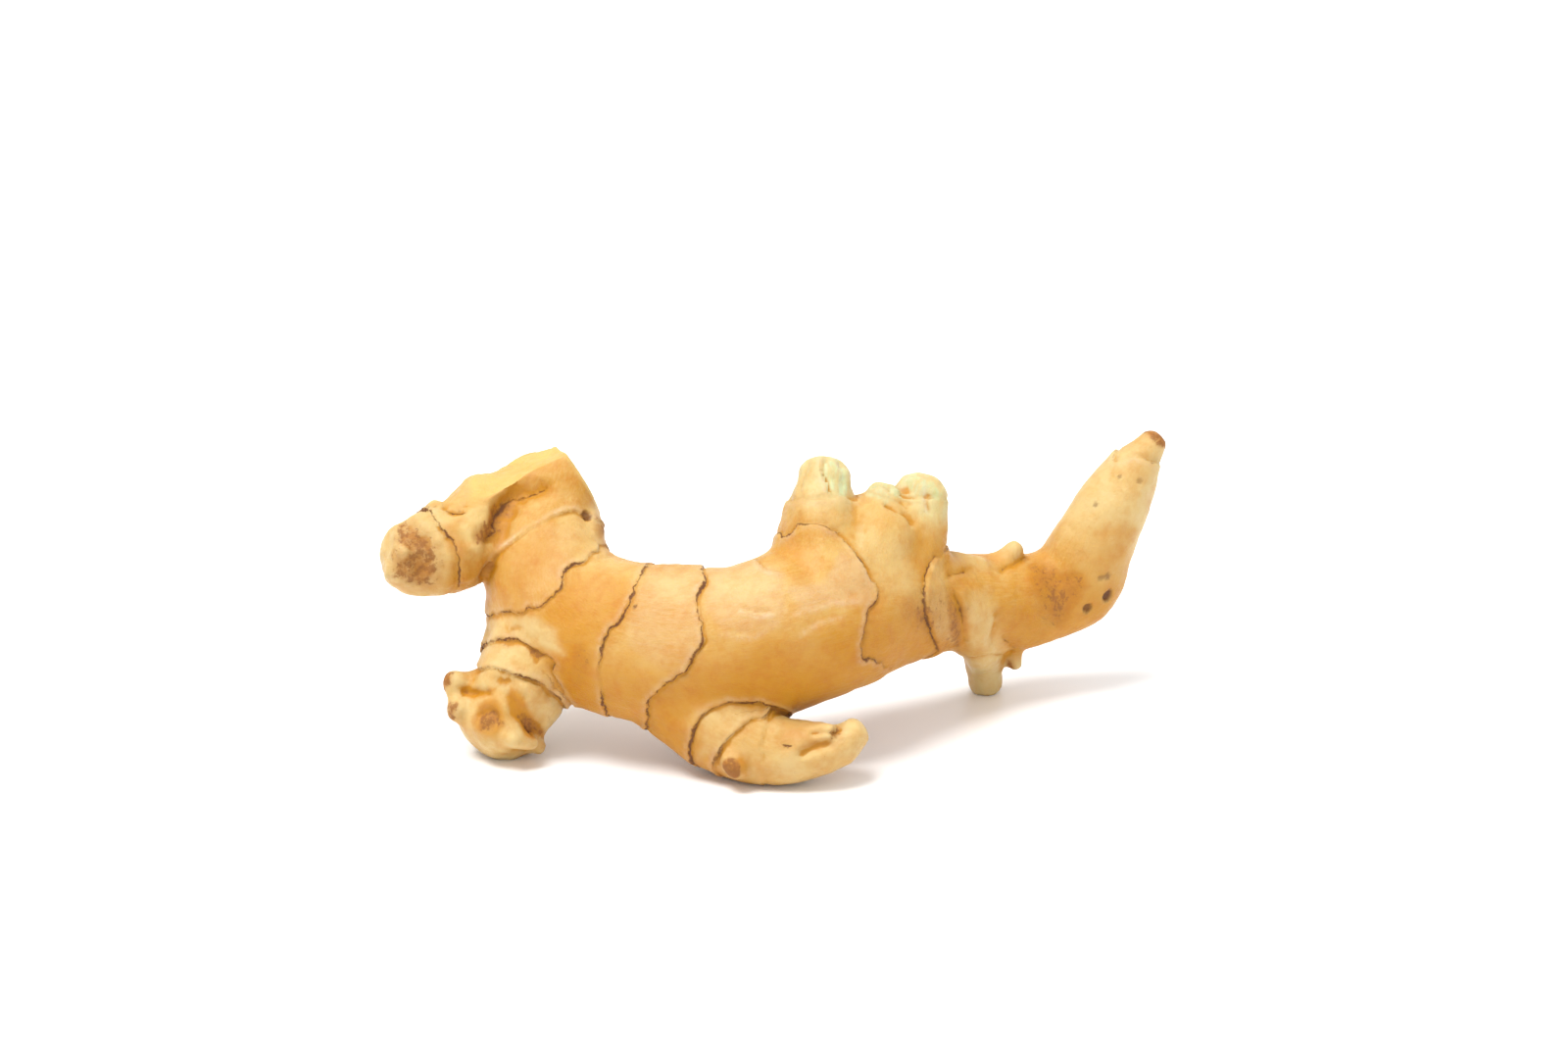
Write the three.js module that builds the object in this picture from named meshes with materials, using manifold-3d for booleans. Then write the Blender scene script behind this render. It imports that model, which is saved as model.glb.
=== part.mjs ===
// Ginger root: one fresh hand of ginger, parted from the rest of its rhizome and lying on a flat surface.
// Units are millimetres. +Z is up, +X runs from the blunt fingers to the long pale one, and -Y is the front.
// The root grew as one piece, so it is one solid. Each finger is a turned profile whose rings are the leaf
// scars. The profile is bent along the finger's own line, and all fingers and buds are joined into one body.
import * as THREE from "three";
import { mergeVertices } from "three/addons/utils/BufferGeometryUtils.js";
import Module from "manifold-3d";

// Driving dimensions.
const ROW_STEP = 4.4; // distance between rows of points along a finger
const ROW_CLEAR = 2.6; // how near a scar's own rows no other row may come
const SCAR_BACK = 2.4; // how far before a scar its rim starts to rise
const SCAR_DROP = 0.7; // how far past the rim the skin has dropped again
const SCAR_REACH = 12; // how far each way a scar's slant and waves pull the skin along
const DROP_SHARE = 0.7; // the drop past the rim, as a share of the rim's height
const TIP_STEPS = 3; // rows in a rounded tip
const LUMP = 0.028; // unevenness of the round sections, as a share of the radius
const BUD_FLARE = 1.35; // width of a small bud at its base against its tip
const SINK = 0.35; // how far the three low points are pressed flat against the surface
const BREAK_POINT = [-49, 28, 60]; // a point of the flat face where the hand was parted from its rhizome
const BREAK_TURN = [-38, 55, 0]; // the tilt of that face, in degrees about X and Y
const BREAK_SIDE = 34; // side of the block that cuts it
const SURFACE_SIDE = 240; // side of the block that stands for the surface
const CENTRE = [-1.1, 14.8]; // middle of the root's outline, which becomes the origin
const SEED_STEP = 1.7; // makes the lumps and waves of each finger differ from the last one's
const ARC_STEPS = 400; // steps in which a finger's line is measured
const SAME_POINT = 1e-4; // points nearer than this are merged
const ROUNDING = 0.01; // a row this near the end of a rim still belongs to it

// Stations run from a finger's base to its tip: [x, y, z, radius]. deep is the section's depth against its
// width, and facing is the direction that the depth is measured in. Scars are [distance from the base,
// height of the rim, slant across, slant in depth, height of the waves], and nose is the length of
// the rounded tip against its radius.
const BACKWARD = [0, 1, 0];
const UPWARD = [0, 0, 1];

const trunk = {
  sides: 28,
  deep: 0.94,
  facing: BACKWARD,
  nose: 0.6,
  stations: [
    [-51, 31, 66, 6.4],
    [-52.5, 29.5, 61, 9.4],
    [-55, 26.5, 54.5, 11.6],
    [-57, 22, 47.5, 14],
    [-56.5, 16, 40, 15.8],
    [-50.5, 10, 33, 17.4],
    [-40.5, 4, 29.5, 18],
    [-27.5, 0, 28.3, 18.3],
    [-12.5, -2, 29.3, 18.4],
    [0, 0, 32, 19.1],
    [11.5, 6, 33.6, 18.7],
    [21, 13, 33, 17],
    [30.5, 20, 30.8, 14],
    [39, 27, 28.6, 12.1],
    [49, 33, 26.5, 11.8],
    [60, 38, 25, 11.6],
    [68.5, 41, 25.5, 10.4],
  ],
  scars: [
    [22, 0.5, -7, 0, 0.4],
    [35, 0.8, 1, -6, 1.1],
    [60, 0.8, 2, 0, 1.0],
    [73, 0.9, 6, 0, 1.1],
    [114, 0.7, -5, 0, 1.0],
    [143, 0.8, 1, 6, 0.6],
    [150, 0.7, 1, 3, 0.5],
    [171, 0.5, -3, 0, 0.8],
  ],
};

const bluntFinger = {
  sides: 20,
  deep: 0.95,
  facing: BACKWARD,
  nose: 0.35,
  stations: [
    [-56.5, 31, 57.5, 8],
    [-63.5, 27, 57.7, 7.6],
    [-70, 22, 54.8, 8.4],
    [-75.6, 16, 49.2, 11],
    [-82, 12, 47.1, 10.8],
    [-87, 9, 47.2, 9.4],
    [-91, 7, 48, 7.6],
  ],
  scars: [
    [24, 0.5, 2, 0, 0.6],
    [31.5, 0.6, 1, 0, 0.5],
  ],
};

const knobbedFinger = {
  sides: 22,
  deep: 0.95,
  facing: BACKWARD,
  nose: 0.75,
  stations: [
    [-57.5, 14, 31, 14.4],
    [-59, 8, 24, 12.9],
    [-60.7, 3, 18.6, 12.1],
    [-64.5, 2, 12.2, 11.2],
    [-68, 1, 7, 9.6],
  ],
  scars: [
    [12.5, 0.8, 1, 0, 0.5],
    [16.5, 0.9, 2, 0, 0.5],
    [21.5, 1.1, 2, 0, 0.6],
  ],
};

const clawFinger = {
  sides: 20,
  deep: 0.96,
  facing: BACKWARD,
  nose: 0.5,
  stations: [
    [-27, 0, 22, 15],
    [-20.5, -5, 16.6, 13],
    [-12.5, -11, 11.6, 11],
    [-3, -15.5, 8.6, 8.8],
    [5.7, -17, 8.8, 7.1],
    [12.5, -17, 10, 5.4],
    [17, -16, 13.2, 3.4],
  ],
  scars: [
    [22, 0.8, -1, 0, 0.6],
    [28, 0.8, -1, 0, 0.6],
    [38, 0.3, 0, 0, 0.4],
  ],
};

const longFinger = {
  sides: 22,
  deep: 0.95,
  facing: BACKWARD,
  nose: 0.8,
  stations: [
    [66, 39.5, 23.5, 10],
    [71, 41, 28.5, 11.2],
    [75.5, 42, 38, 10.1],
    [80.7, 43, 48.5, 9],
    [84.7, 44.5, 56, 6.8],
    [89.6, 46, 62.7, 3.4],
  ],
  scars: [[39, 0.4, -1, 0, 0.5]],
};

const shoulder = {
  sides: 18,
  deep: 0.95,
  facing: BACKWARD,
  nose: 0.9,
  stations: [
    [11.5, 6, 38, 16.5],
    [16, 11, 43, 15],
    [20.5, 15.5, 48.5, 12.4],
  ],
  scars: [],
};

const tallBud = {
  sides: 18,
  deep: 0.95,
  facing: BACKWARD,
  nose: 0.8,
  stations: [
    [8.3, 5, 40, 16],
    [8.3, 9, 49, 11.8],
    [8.8, 12.5, 58.5, 8.6],
    [9.4, 15.5, 65.4, 6.5],
  ],
  scars: [[21, 0.4, 0, 0, 0.3]],
};

const wideBud = {
  sides: 18,
  deep: 0.95,
  facing: BACKWARD,
  nose: 0.75,
  stations: [
    [25, 17.5, 40, 13],
    [27.5, 19.5, 45, 11.6],
    [30.5, 22, 52, 8.9],
    [32.8, 24, 58, 6.4],
  ],
  scars: [[14, 0.5, 0, 0, 0.4]],
};

const sheath = {
  sides: 12,
  deep: 1,
  facing: BACKWARD,
  nose: 0.8,
  stations: [
    [35.5, 26, 33.5, 7],
    [41.5, 27, 37.8, 4],
    [48.3, 28, 38.8, 1.3],
  ],
  scars: [],
};

const sideBud = {
  sides: 12,
  deep: 1,
  facing: BACKWARD,
  nose: 0.9,
  stations: [
    [47.5, 34, 32, 5],
    [52.8, 35, 35.7, 3.4],
    [56, 35.5, 38.6, 2.9],
  ],
  scars: [[9, 0.3, 0, 0, 0.2]],
};

const peg = {
  sides: 14,
  deep: 1,
  facing: BACKWARD,
  nose: 0.6,
  stations: [
    [48, 35, 20, 6.6],
    [49, 37.5, 11, 5],
    [50, 39, 2.4, 4.2],
  ],
  scars: [[8, 0.4, 0, 0, 0.3]],
};

// A small bud or the stub of a root, from its base inside a finger to the middle of its round tip.
function smallBud(base, tip, radius, facing = UPWARD) {
  const stations = [
    [...base, BUD_FLARE * radius],
    [...tip, radius],
  ];
  return { sides: 10, deep: 1, facing, nose: 0.7, stations, scars: [] };
}

const smallBuds = [
  // Round the knobbed finger's end.
  smallBud([-72.5, 3.5, 16], [-78.6, 0.5, 18.3], 2.9),
  smallBud([-71.5, 1, 11.2], [-77.4, -3.5, 13.2], 3),
  smallBud([-67, -1, 10], [-67.8, -9.5, 12.4], 3.3),
  smallBud([-64, -2, 8.4], [-59.2, -8.5, 8.6], 3),
  smallBud([-61.5, 0, 4.8], [-57.4, -3.5, 3.6], 2.2),
  // On the blunt finger's end.
  smallBud([-86, 7, 46.5], [-90.8, 2.5, 44.8], 2.4),
  smallBud([-86.5, 8, 48.5], [-88.4, 2.5, 51.5], 2),
  // Beside the break, on the claw finger and on the crown.
  smallBud([-50, 20, 48.5], [-44.6, 19, 50.8], 3.6, BACKWARD),
  smallBud([-8, -15, 8], [-11.8, -22.5, 7.2], 3.4),
  smallBud([2.5, -16.5, 10.5], [12, -17.5, 13.9], 2.7, BACKWARD),
  smallBud([21.5, 17, 51], [23.8, 20, 59], 4.3, BACKWARD),
  smallBud([55.5, 36, 17], [56.4, 35.5, 8.8], 2.4, BACKWARD),
  // Dormant ones on the far side.
  smallBud([-27, 11, 33], [-25.4, 18.6, 36.4], 3),
  smallBud([14, 19, 29], [15.4, 26.4, 28.2], 3.2),
  smallBud([77.5, 47, 42], [78.8, 53, 45.6], 2.3),
];

const fingers = [
  trunk,
  bluntFinger,
  knobbedFinger,
  clawFinger,
  longFinger,
  shoulder,
  tallBud,
  wideBud,
  sheath,
  sideBud,
  peg,
  ...smallBuds,
];

// A line through the stations that gives, at a distance along it, the centre, the radius and the directions
// across and deep of the section there.
function lineOf(finger) {
  const centres = finger.stations.map(([x, y, z]) => new THREE.Vector3(x, y, z));
  const curve = new THREE.CatmullRomCurve3(centres, false, "centripetal");
  curve.arcLengthDivisions = ARC_STEPS;
  const length = curve.getLength();
  const radii = new THREE.SplineCurve(finger.stations.map((s, i) => new THREE.Vector2(i, s[3])));
  const facing = new THREE.Vector3(...finger.facing);
  function at(distance) {
    const share = THREE.MathUtils.clamp(distance / length, 0, 1);
    const t = curve.getUtoTmapping(share);
    const tangent = curve.getTangent(t);
    const centre = curve.getPoint(t).addScaledVector(tangent, distance - share * length);
    const deep = facing.clone().addScaledVector(tangent, -facing.dot(tangent)).normalize();
    const across = new THREE.Vector3().crossVectors(tangent, deep);
    return { centre, across, deep, radius: radii.getPoint(t).y };
  }
  return { length, at };
}

// The waves of a scar's rim round the finger, from -1 to 1.
function wave(angle, seed) {
  return 0.5 * Math.sin(3 * angle + seed) + 0.3 * Math.sin(7 * angle + 2 * seed) + 0.2 * Math.sin(11 * angle - seed);
}

// Distances along the finger that get a row of points: even steps, with three rows for each scar.
function rowsOf(finger, length) {
  const rows = [];
  const steps = Math.round(length / ROW_STEP);
  for (let i = 0; i <= steps; i++) {
    const place = (length * i) / steps;
    const nearScar = finger.scars.some(
      ([at]) => place > at - SCAR_BACK - ROW_CLEAR && place < at + SCAR_DROP + ROW_CLEAR,
    );
    if (!nearScar) rows.push(place);
  }
  for (const [at] of finger.scars) rows.push(at - SCAR_BACK, at, at + SCAR_DROP);
  return rows.sort((a, b) => a - b);
}

// How far the rims of the scars raise or lower the skin at a distance along the finger.
function rimHeight(finger, place) {
  let height = 0;
  for (const [at, rim] of finger.scars) {
    if (place > at - SCAR_BACK - ROUNDING && place <= at) height += (rim * (place - at + SCAR_BACK)) / SCAR_BACK;
    if (place > at && place <= at + SCAR_DROP + ROUNDING) height -= (rim * DROP_SHARE * (place - at)) / SCAR_DROP;
  }
  return height;
}

// A closed geometry with its shared points merged, and without the triangles at its poles that have no area.
function welded(geometry) {
  geometry.deleteAttribute("normal");
  geometry.deleteAttribute("uv");
  const merged = mergeVertices(geometry, SAME_POINT);
  const corners = [];
  for (let i = 0; i < merged.index.count; i += 3) {
    const [a, b, c] = merged.index.array.slice(i, i + 3);
    if (a !== b && b !== c && c !== a) corners.push(a, b, c);
  }
  return merged.setIndex(corners);
}

// One finger as a closed geometry: a turned profile, bent along the finger's line.
function fingerGeometry(finger, seed) {
  const { length, at } = lineOf(finger);
  const profile = [new THREE.Vector2(0, 0)];
  for (const place of rowsOf(finger, length)) {
    profile.push(new THREE.Vector2(at(place).radius + rimHeight(finger, place), place));
  }
  const tipRadius = at(length).radius;
  for (let i = 1; i < TIP_STEPS; i++) {
    const turn = (Math.PI / 2) * (i / TIP_STEPS);
    profile.push(new THREE.Vector2(tipRadius * Math.cos(turn), length + tipRadius * finger.nose * Math.sin(turn)));
  }
  profile.push(new THREE.Vector2(0, length + tipRadius * finger.nose));

  const geometry = welded(new THREE.LatheGeometry(profile, finger.sides));
  const points = geometry.getAttribute("position");
  for (let i = 0; i < points.count; i++) {
    const radius = Math.hypot(points.getX(i), points.getZ(i));
    const angle = Math.atan2(points.getZ(i), points.getX(i));
    let place = points.getY(i);
    for (const [scarAt, , slantAcross, slantDeep, waves] of finger.scars) {
      const pull = Math.max(0, 1 - Math.abs(points.getY(i) - scarAt) / SCAR_REACH);
      const slant = slantAcross * Math.cos(angle) + slantDeep * Math.sin(angle);
      place += pull * (slant + waves * wave(angle, seed + scarAt));
    }
    const lumps = Math.sin(2 * angle + seed + place / 9) + 0.7 * Math.sin(3 * angle - seed - place / 6);
    const section = at(place);
    const reach = radius * (1 + LUMP * lumps);
    section.centre.addScaledVector(section.across, reach * Math.cos(angle));
    section.centre.addScaledVector(section.deep, reach * finger.deep * Math.sin(angle));
    points.setXYZ(i, ...section.centre);
  }
  return geometry;
}

// A closed geometry as a solid.
function solidFrom(wasm, geometry) {
  const vertProperties = new Float32Array(geometry.attributes.position.array);
  const triVerts = new Uint32Array(geometry.index.array);
  return new wasm.Manifold(new wasm.Mesh({ numProp: 3, vertProperties, triVerts }));
}

// A block whose underside passes through a point, turned about X, Y and Z by degrees.
function blockFrom(wasm, side, point, turn) {
  const geometry = new THREE.BoxGeometry(side, side, side);
  geometry.translate(0, 0, side / 2);
  const [turnX, turnY, turnZ] = turn.map(THREE.MathUtils.degToRad);
  geometry.rotateZ(turnZ).rotateY(turnY).rotateX(turnX);
  geometry.translate(...point);
  return solidFrom(wasm, welded(geometry));
}

const wasm = await Module();
wasm.setup();

let body = null;
fingers.forEach((finger, i) => {
  const solid = solidFrom(wasm, fingerGeometry(finger, SEED_STEP * i));
  body = body ? body.add(solid) : solid;
});

// The face where the hand was parted is flat, and the low points are pressed flat where the root rests.
const parted = blockFrom(wasm, BREAK_SIDE, BREAK_POINT, BREAK_TURN);
const surface = blockFrom(wasm, SURFACE_SIDE, [0, 0, SINK - SURFACE_SIDE], [0, 0, 0]);
body = body.subtract(parted).subtract(surface);

const made = body.getMesh();
const geometry = new THREE.BufferGeometry();
const places = new Float32Array(made.numVert * 3);
for (let i = 0; i < made.numVert; i++) {
  places.set(made.vertProperties.subarray(i * made.numProp, i * made.numProp + 3), i * 3);
}
geometry.setAttribute("position", new THREE.BufferAttribute(places, 3));
geometry.setIndex(new THREE.BufferAttribute(made.triVerts, 1));
geometry.computeVertexNormals();

const skin = new THREE.MeshStandardMaterial({ color: "#e0b878", roughness: 0.55, metalness: 0 });
const root = new THREE.Mesh(geometry, skin);
root.name = "ginger_root";
root.position.set(-CENTRE[0], -CENTRE[1], -SINK);

const ginger = new THREE.Group();
ginger.add(root);
export default ginger;
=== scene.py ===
"""Ginger root: one fresh hand of ginger on a plain pale floor.

The root grew as one piece. Its fingers and buds are turned profiles, bent along the lines that they grew
along and merged into one skin. The skin is then carved along its seams, which are the leaf scars, folds and
creases, and marked with pits, stains and papery patches. The same seams and marks are kept as attributes,
which the skin's material reads. Lengths are in millimetres until the finished mesh is brought to metres.
"""

import logging
import math
from dataclasses import dataclass, field
from enum import Enum
from itertools import product

import bpy
import numpy as np
from mathutils import Matrix, Vector
from mathutils.bvhtree import BVHTree


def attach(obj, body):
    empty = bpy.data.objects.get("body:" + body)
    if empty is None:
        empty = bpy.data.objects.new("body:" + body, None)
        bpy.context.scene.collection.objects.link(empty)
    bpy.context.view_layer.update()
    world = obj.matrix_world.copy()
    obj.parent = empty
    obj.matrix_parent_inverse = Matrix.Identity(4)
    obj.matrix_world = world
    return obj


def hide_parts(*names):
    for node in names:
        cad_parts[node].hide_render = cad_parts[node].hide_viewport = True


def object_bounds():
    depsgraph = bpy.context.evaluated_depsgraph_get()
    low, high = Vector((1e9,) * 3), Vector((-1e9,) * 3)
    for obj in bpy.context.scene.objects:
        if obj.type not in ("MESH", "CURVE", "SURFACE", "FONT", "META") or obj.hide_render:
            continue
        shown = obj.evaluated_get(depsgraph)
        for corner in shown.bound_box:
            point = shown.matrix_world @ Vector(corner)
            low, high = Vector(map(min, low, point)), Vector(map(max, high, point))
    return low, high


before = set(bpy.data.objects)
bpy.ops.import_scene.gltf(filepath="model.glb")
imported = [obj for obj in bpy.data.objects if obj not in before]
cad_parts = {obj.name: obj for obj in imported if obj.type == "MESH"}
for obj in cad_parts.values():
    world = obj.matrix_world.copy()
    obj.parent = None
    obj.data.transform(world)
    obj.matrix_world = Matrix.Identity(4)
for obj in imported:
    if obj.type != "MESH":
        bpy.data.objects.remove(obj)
cad_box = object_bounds()

log = logging.getLogger("ginger")

NODE = "ginger_root"

METRES = 0.001  # one millimetre in metres
CENTRE = np.array([-1.1, 14.8, 0.35])  # the part's origin, in the lengths that the stations are given in
BACKWARD = (0.0, 1.0, 0.0)
UPWARD = (0.0, 0.0, 1.0)

LINE_STEPS = 16  # points of a finger's line between two stations
ROW_STEP = 2.6  # distance between the rings of points along a finger
TIP_ROWS = 6  # rings in a rounded tip
LUMP = 0.028  # unevenness of the round sections, as a share of the radius
SEED_STEP = 1.7  # makes the lumps of each finger differ from the last one's
BUD_FLARE = 1.35  # width of a small bud at its base against its tip
ALONG_SHARE = 0.14  # how much the grain changes along a finger for each change across it
FINGER_SHIFT = 7.3  # makes the grain of each finger differ from the others'
RIB_SHAPE = (1.0, 1.0, 0.8)  # the grain's directions, drawn out for the ribs along a finger
WRINKLE_SHAPE = (0.25, 0.25, 7.0)  # the same for the fine wrinkles round it

BREAK_POINT = (-49.0, 28.0, 60.0)  # a point of the face where the hand was parted from its rhizome
BREAK_TURN = (-38.0, 55.0)  # tilt of that face about X and Y, in degrees
BREAK_SIDE = 34.0  # side of the block that cuts it
TOP_POINT = (-57.0, 28.0, 64.6)  # a point of the flat facet on top of the parted end
TOP_TURN = -20.8  # tilt of that facet about Y, in degrees
TOP_REACH = (-77.0, -66.0)  # where along X the facet starts to show and is fully flat
TOP_SPREAD = 14.0  # how far along X past its point the facet goes on
BREAK_REACH = (24.0, 20.0)  # distances from the break's point between which its flesh starts and is full
BREAK_DEPTH = (1.0, 0.3)  # distances from the break's face for the same
FACET_DEPTH = (0.1, 0.9)  # how far the skin is pressed in where flesh starts to show and where it is full

SEAM_REACH = 12.0  # how far from a seam the skin still changes
SEAM_FADE = (5.0, 2.0)  # distances from a seam between which its line starts and is full
HALO_REACH = 1.6  # how far the stain beside a seam runs
EDGE_PLACE = -0.8  # where the dry edge of a seam lies, before the seam
EDGE_REACH = 0.7  # half the width of that edge
EDGE_GAIN = 1.6  # makes up for the gaps in that edge
SEAM_STRENGTH = (0.68, 0.35, 1.0)  # how strong a seam is in the middle, at least and at most
SEAM_ENDS = 0.15  # share of an open seam's length over which it fades at each end

ROUND_EDGE = (1.25, 0.75)  # shares of a round mark's radius between which it starts and is full
ROUND_RAGGED = 0.2  # how ragged that edge is, as a share of the radius
AREA_RAGGED = 0.5  # the same for an area's edge, as a share of the width over which it fades
FACING = (0.0, 0.2)  # how far the skin has to face the camera for an area to start and to be full
ROUND_SEED = 11
AREA_SEED = 23

GREEN_SHARES = (0.62, 0.95)  # shares of a finger's length between which its green starts and is full
BROWN_SHARES = (0.05, 0.45)  # shares of a tip's radius past the line for its brown end
PAINTED_UNDERSIDE_SHADE_LIMITS = (0.7, -0.4)  # how far up the skin faces where its painted shade on the underside starts and is full

LEAD_REACH = 3.0  # how far from where two fingers meet their values blend
MEETING_REACH = (1.6, 0.3)  # distances from there between which the grain fades out
PAINTED_CREASE_SHADE_REACH = 1.2  # how far from there the painted shade of a crease runs
MELT_LEVELS = 20  # steps in which the softening grows
SHARP_MELT = 0.6  # fingers that melt less than this get painted shade in a crease round them
STANDING_ROUNDS = (8, 60)  # rounds of smoothing that small and large hollows are measured against

HASH_FACTORS = np.array([73856093, 19349663, 83492791])  # large primes, which scatter the noise's cells
HASH_SEED = 40503
HASH_MIX = 1274126177
HASH_SHIFTS = (13, 16)
HASH_LIMIT = 0xFFFFFFFF
VALUE_LIMIT = 0xFFFF  # the largest value of a cell before it is brought to 1

Station = tuple[float, float, float, float]
Place = tuple[float, float, float]
Pixel = tuple[float, float]
Colour = tuple[float, float, float]


def read_points(mesh: bpy.types.Mesh) -> np.ndarray:
    """Reads a mesh's points.

    Args:
        mesh: The mesh to read.

    Returns:
        One row of x, y and z for each point.
    """
    points = np.empty(len(mesh.vertices) * 3, np.float32)
    mesh.vertices.foreach_get("co", points)
    return points.reshape(-1, 3).astype(float)


def write_points(mesh: bpy.types.Mesh, points: np.ndarray) -> None:
    """Moves a mesh's points.

    Args:
        mesh: The mesh to change.
        points: One row of x, y and z for each point.
    """
    mesh.vertices.foreach_set("co", points.astype(np.float32).ravel())
    mesh.update()


def read_normals(mesh: bpy.types.Mesh) -> np.ndarray:
    """Reads the direction that each point of a mesh faces.

    Args:
        mesh: The mesh to read.

    Returns:
        One unit vector for each point.
    """
    normals = np.empty(len(mesh.vertices) * 3, np.float32)
    mesh.vertex_normals.foreach_get("vector", normals)
    return normals.reshape(-1, 3).astype(float)


def smooth_step(low: float, high: float, values: np.ndarray) -> np.ndarray:
    """Rises smoothly from 0 at low to 1 at high.

    Args:
        low: Value that gives 0.
        high: Value that gives 1, which may be the smaller one.
        values: The values to grade.

    Returns:
        The grades, from 0 to 1.
    """
    share = np.clip((values - low) / (high - low), 0.0, 1.0)
    return share * share * (3.0 - 2.0 * share)


def noise(points: np.ndarray, size: float, seed: int) -> np.ndarray:
    """Smooth noise in space.

    Args:
        points: Where the noise is read, one row each.
        size: Width of one cell of the noise.
        seed: Picks one noise among many.

    Returns:
        Values from -1 to 1, one for each point.
    """
    places = points / size
    cells = np.floor(places).astype(np.int64)
    shares = places - cells
    shares = shares * shares * (3.0 - 2.0 * shares)
    total = np.zeros(len(points))
    for corner in product((0, 1), repeat=3):
        cell = cells + np.array(corner)
        scattered = cell * HASH_FACTORS
        key = scattered[:, 0] ^ scattered[:, 1] ^ scattered[:, 2] ^ seed * HASH_SEED
        key = (key ^ (key >> HASH_SHIFTS[0])) * HASH_MIX & HASH_LIMIT
        value = ((key ^ (key >> HASH_SHIFTS[1])) & VALUE_LIMIT) * 2.0 / VALUE_LIMIT - 1.0
        weight = np.prod(np.where(corner, shares, 1.0 - shares), axis=1)
        total += weight * value
    return total


def layered_noise(points: np.ndarray, size: float, seed: int, layers: int = 3) -> np.ndarray:
    """Noise with finer noise on it.

    Args:
        points: Where the noise is read, one row each.
        size: Width of a cell of the coarsest layer. Each next layer is half as wide and half as strong.
        seed: Picks one noise among many.
        layers: How many layers are added up.

    Returns:
        Values of about -1 to 1, one for each point.
    """
    total = sum(noise(points, size / 2**i, seed + i) / 2**i for i in range(layers))
    return total / (2.0 - 0.5 ** (layers - 1))


@dataclass(frozen=True)
class Unevenness:
    """One kind of unevenness, in the skin's height or in how far something reaches."""

    size: float  # how wide its largest swellings are
    height: float  # how strong it is
    seed: int
    layers: int = 3

    def at(self, points: np.ndarray, number: int = 0) -> np.ndarray:
        """Reads it at places.

        Args:
            points: The places, one row each.
            number: Picks one unevenness among several of the same kind.

        Returns:
            Its value at each place.
        """
        return self.height * layered_noise(points, self.size, self.seed + number, self.layers)


# The skin's relief.
SWELLINGS = Unevenness(15.0, 0.5, 41)
HUMPS = Unevenness(5.0, 0.16, 43)
RIBS = Unevenness(4.5, 0.16, 45, 2)
BUMPS = Unevenness(2.4, 0.08, 63, 2)
KNOBBLES = Unevenness(4.8, 1.0, 61)
FIBRES = Unevenness(1.6, 0.05, 47)
WRINKLES = Unevenness(1.4, 0.06, 49, 1)
FLAKES = Unevenness(2.6, 0.1, 53)

# How raggedly the seams run.
JAGS = Unevenness(5.0, 1.0, 31)
FINE_JAGS = Unevenness(1.3, 0.6, 57, 1)
FAINTNESS = Unevenness(8.0, 0.7, 91)
PATCHINESS = Unevenness(4.0, 0.7, 70)
FLAKY_RIMS = Unevenness(2.2, 0.5, 75)

# How raggedly the colours of the fingers end.
PALE_EDGE = Unevenness(9.0, 0.12, 3)
GREEN_EDGE = Unevenness(5.0, 0.15, 5, 1)
BROWN_EDGE = Unevenness(1.6, 0.25, 8, 1)
# How raggedly the painted shade on the underside ends.
PAINTED_UNDERSIDE_SHADE_EDGE = Unevenness(12.0, 0.25, 19, 1)


def to_row(point: Place) -> np.ndarray:
    """Moves a place from the stations' origin to the part's origin, both in millimetres."""
    return np.array(point) - CENTRE


def break_turn() -> np.ndarray:
    """The rotation that tilts a level face to the break's."""
    turn_x, turn_y = (math.radians(angle) for angle in BREAK_TURN)
    return np.array(Matrix.Rotation(turn_x, 3, "X") @ Matrix.Rotation(turn_y, 3, "Y"))


@dataclass(frozen=True)
class Viewpoint:
    """Where the photograph was taken from, which places what is given by a pixel of it."""

    width: float = 1600.0  # of the photograph, in pixels
    height: float = 1066.0
    lens: float = 85.0
    sensor: float = 36.0  # width of the film, in the lens's millimetres
    elevation: float = math.radians(20.0)  # how far the camera looks down
    pixels_per_mm: float = 4.3  # at the root
    aim_height: float = 55.3  # how far up the picture its middle looks, above the floor under the trunk

    @property
    def focal(self) -> float:
        """The lens's length in pixels."""
        return self.width * self.lens / self.sensor

    @property
    def forward(self) -> np.ndarray:
        """The direction that the camera looks in."""
        return np.array([0.0, math.cos(self.elevation), -math.sin(self.elevation)])

    @property
    def upward(self) -> np.ndarray:
        """The direction that is up in the picture."""
        return np.array([0.0, math.sin(self.elevation), math.cos(self.elevation)])

    @property
    def place(self) -> np.ndarray:
        """Where the camera stands, in millimetres from the part's origin."""
        aim = self.aim_height * self.upward - CENTRE
        return aim - self.forward * self.focal / self.pixels_per_mm

    def ray(self, pixel: Pixel) -> np.ndarray:
        """The direction in which a pixel of the photograph is seen, as a unit vector."""
        right = (pixel[0] - self.width / 2) / self.focal
        above = (self.height / 2 - pixel[1]) / self.focal
        direction = self.forward + right * np.array([1.0, 0.0, 0.0]) + above * self.upward
        return direction / np.linalg.norm(direction)

    def pixels(self, points: np.ndarray) -> np.ndarray:
        """The pixels at which places are seen, one row each."""
        away = points - self.place
        depth = away @ self.forward
        across = self.width / 2 + self.focal * away[:, 0] / depth
        down = self.height / 2 - self.focal * (away @ self.upward) / depth
        return np.stack([across, down], axis=1)

    def camera(self) -> bpy.types.Object:
        """Makes the camera at the photograph's viewing angle.

        Returns:
            The camera, which is also the scene's own.
        """
        bpy.ops.object.camera_add(
            location=tuple(self.place * METRES),
            rotation=(math.pi / 2 - self.elevation, 0.0, 0.0),
        )
        camera = bpy.context.object
        camera.name = "Camera"
        camera.data.lens = self.lens
        camera.data.sensor_width = self.sensor
        bpy.context.scene.camera = camera
        return camera


VIEW = Viewpoint()


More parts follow.
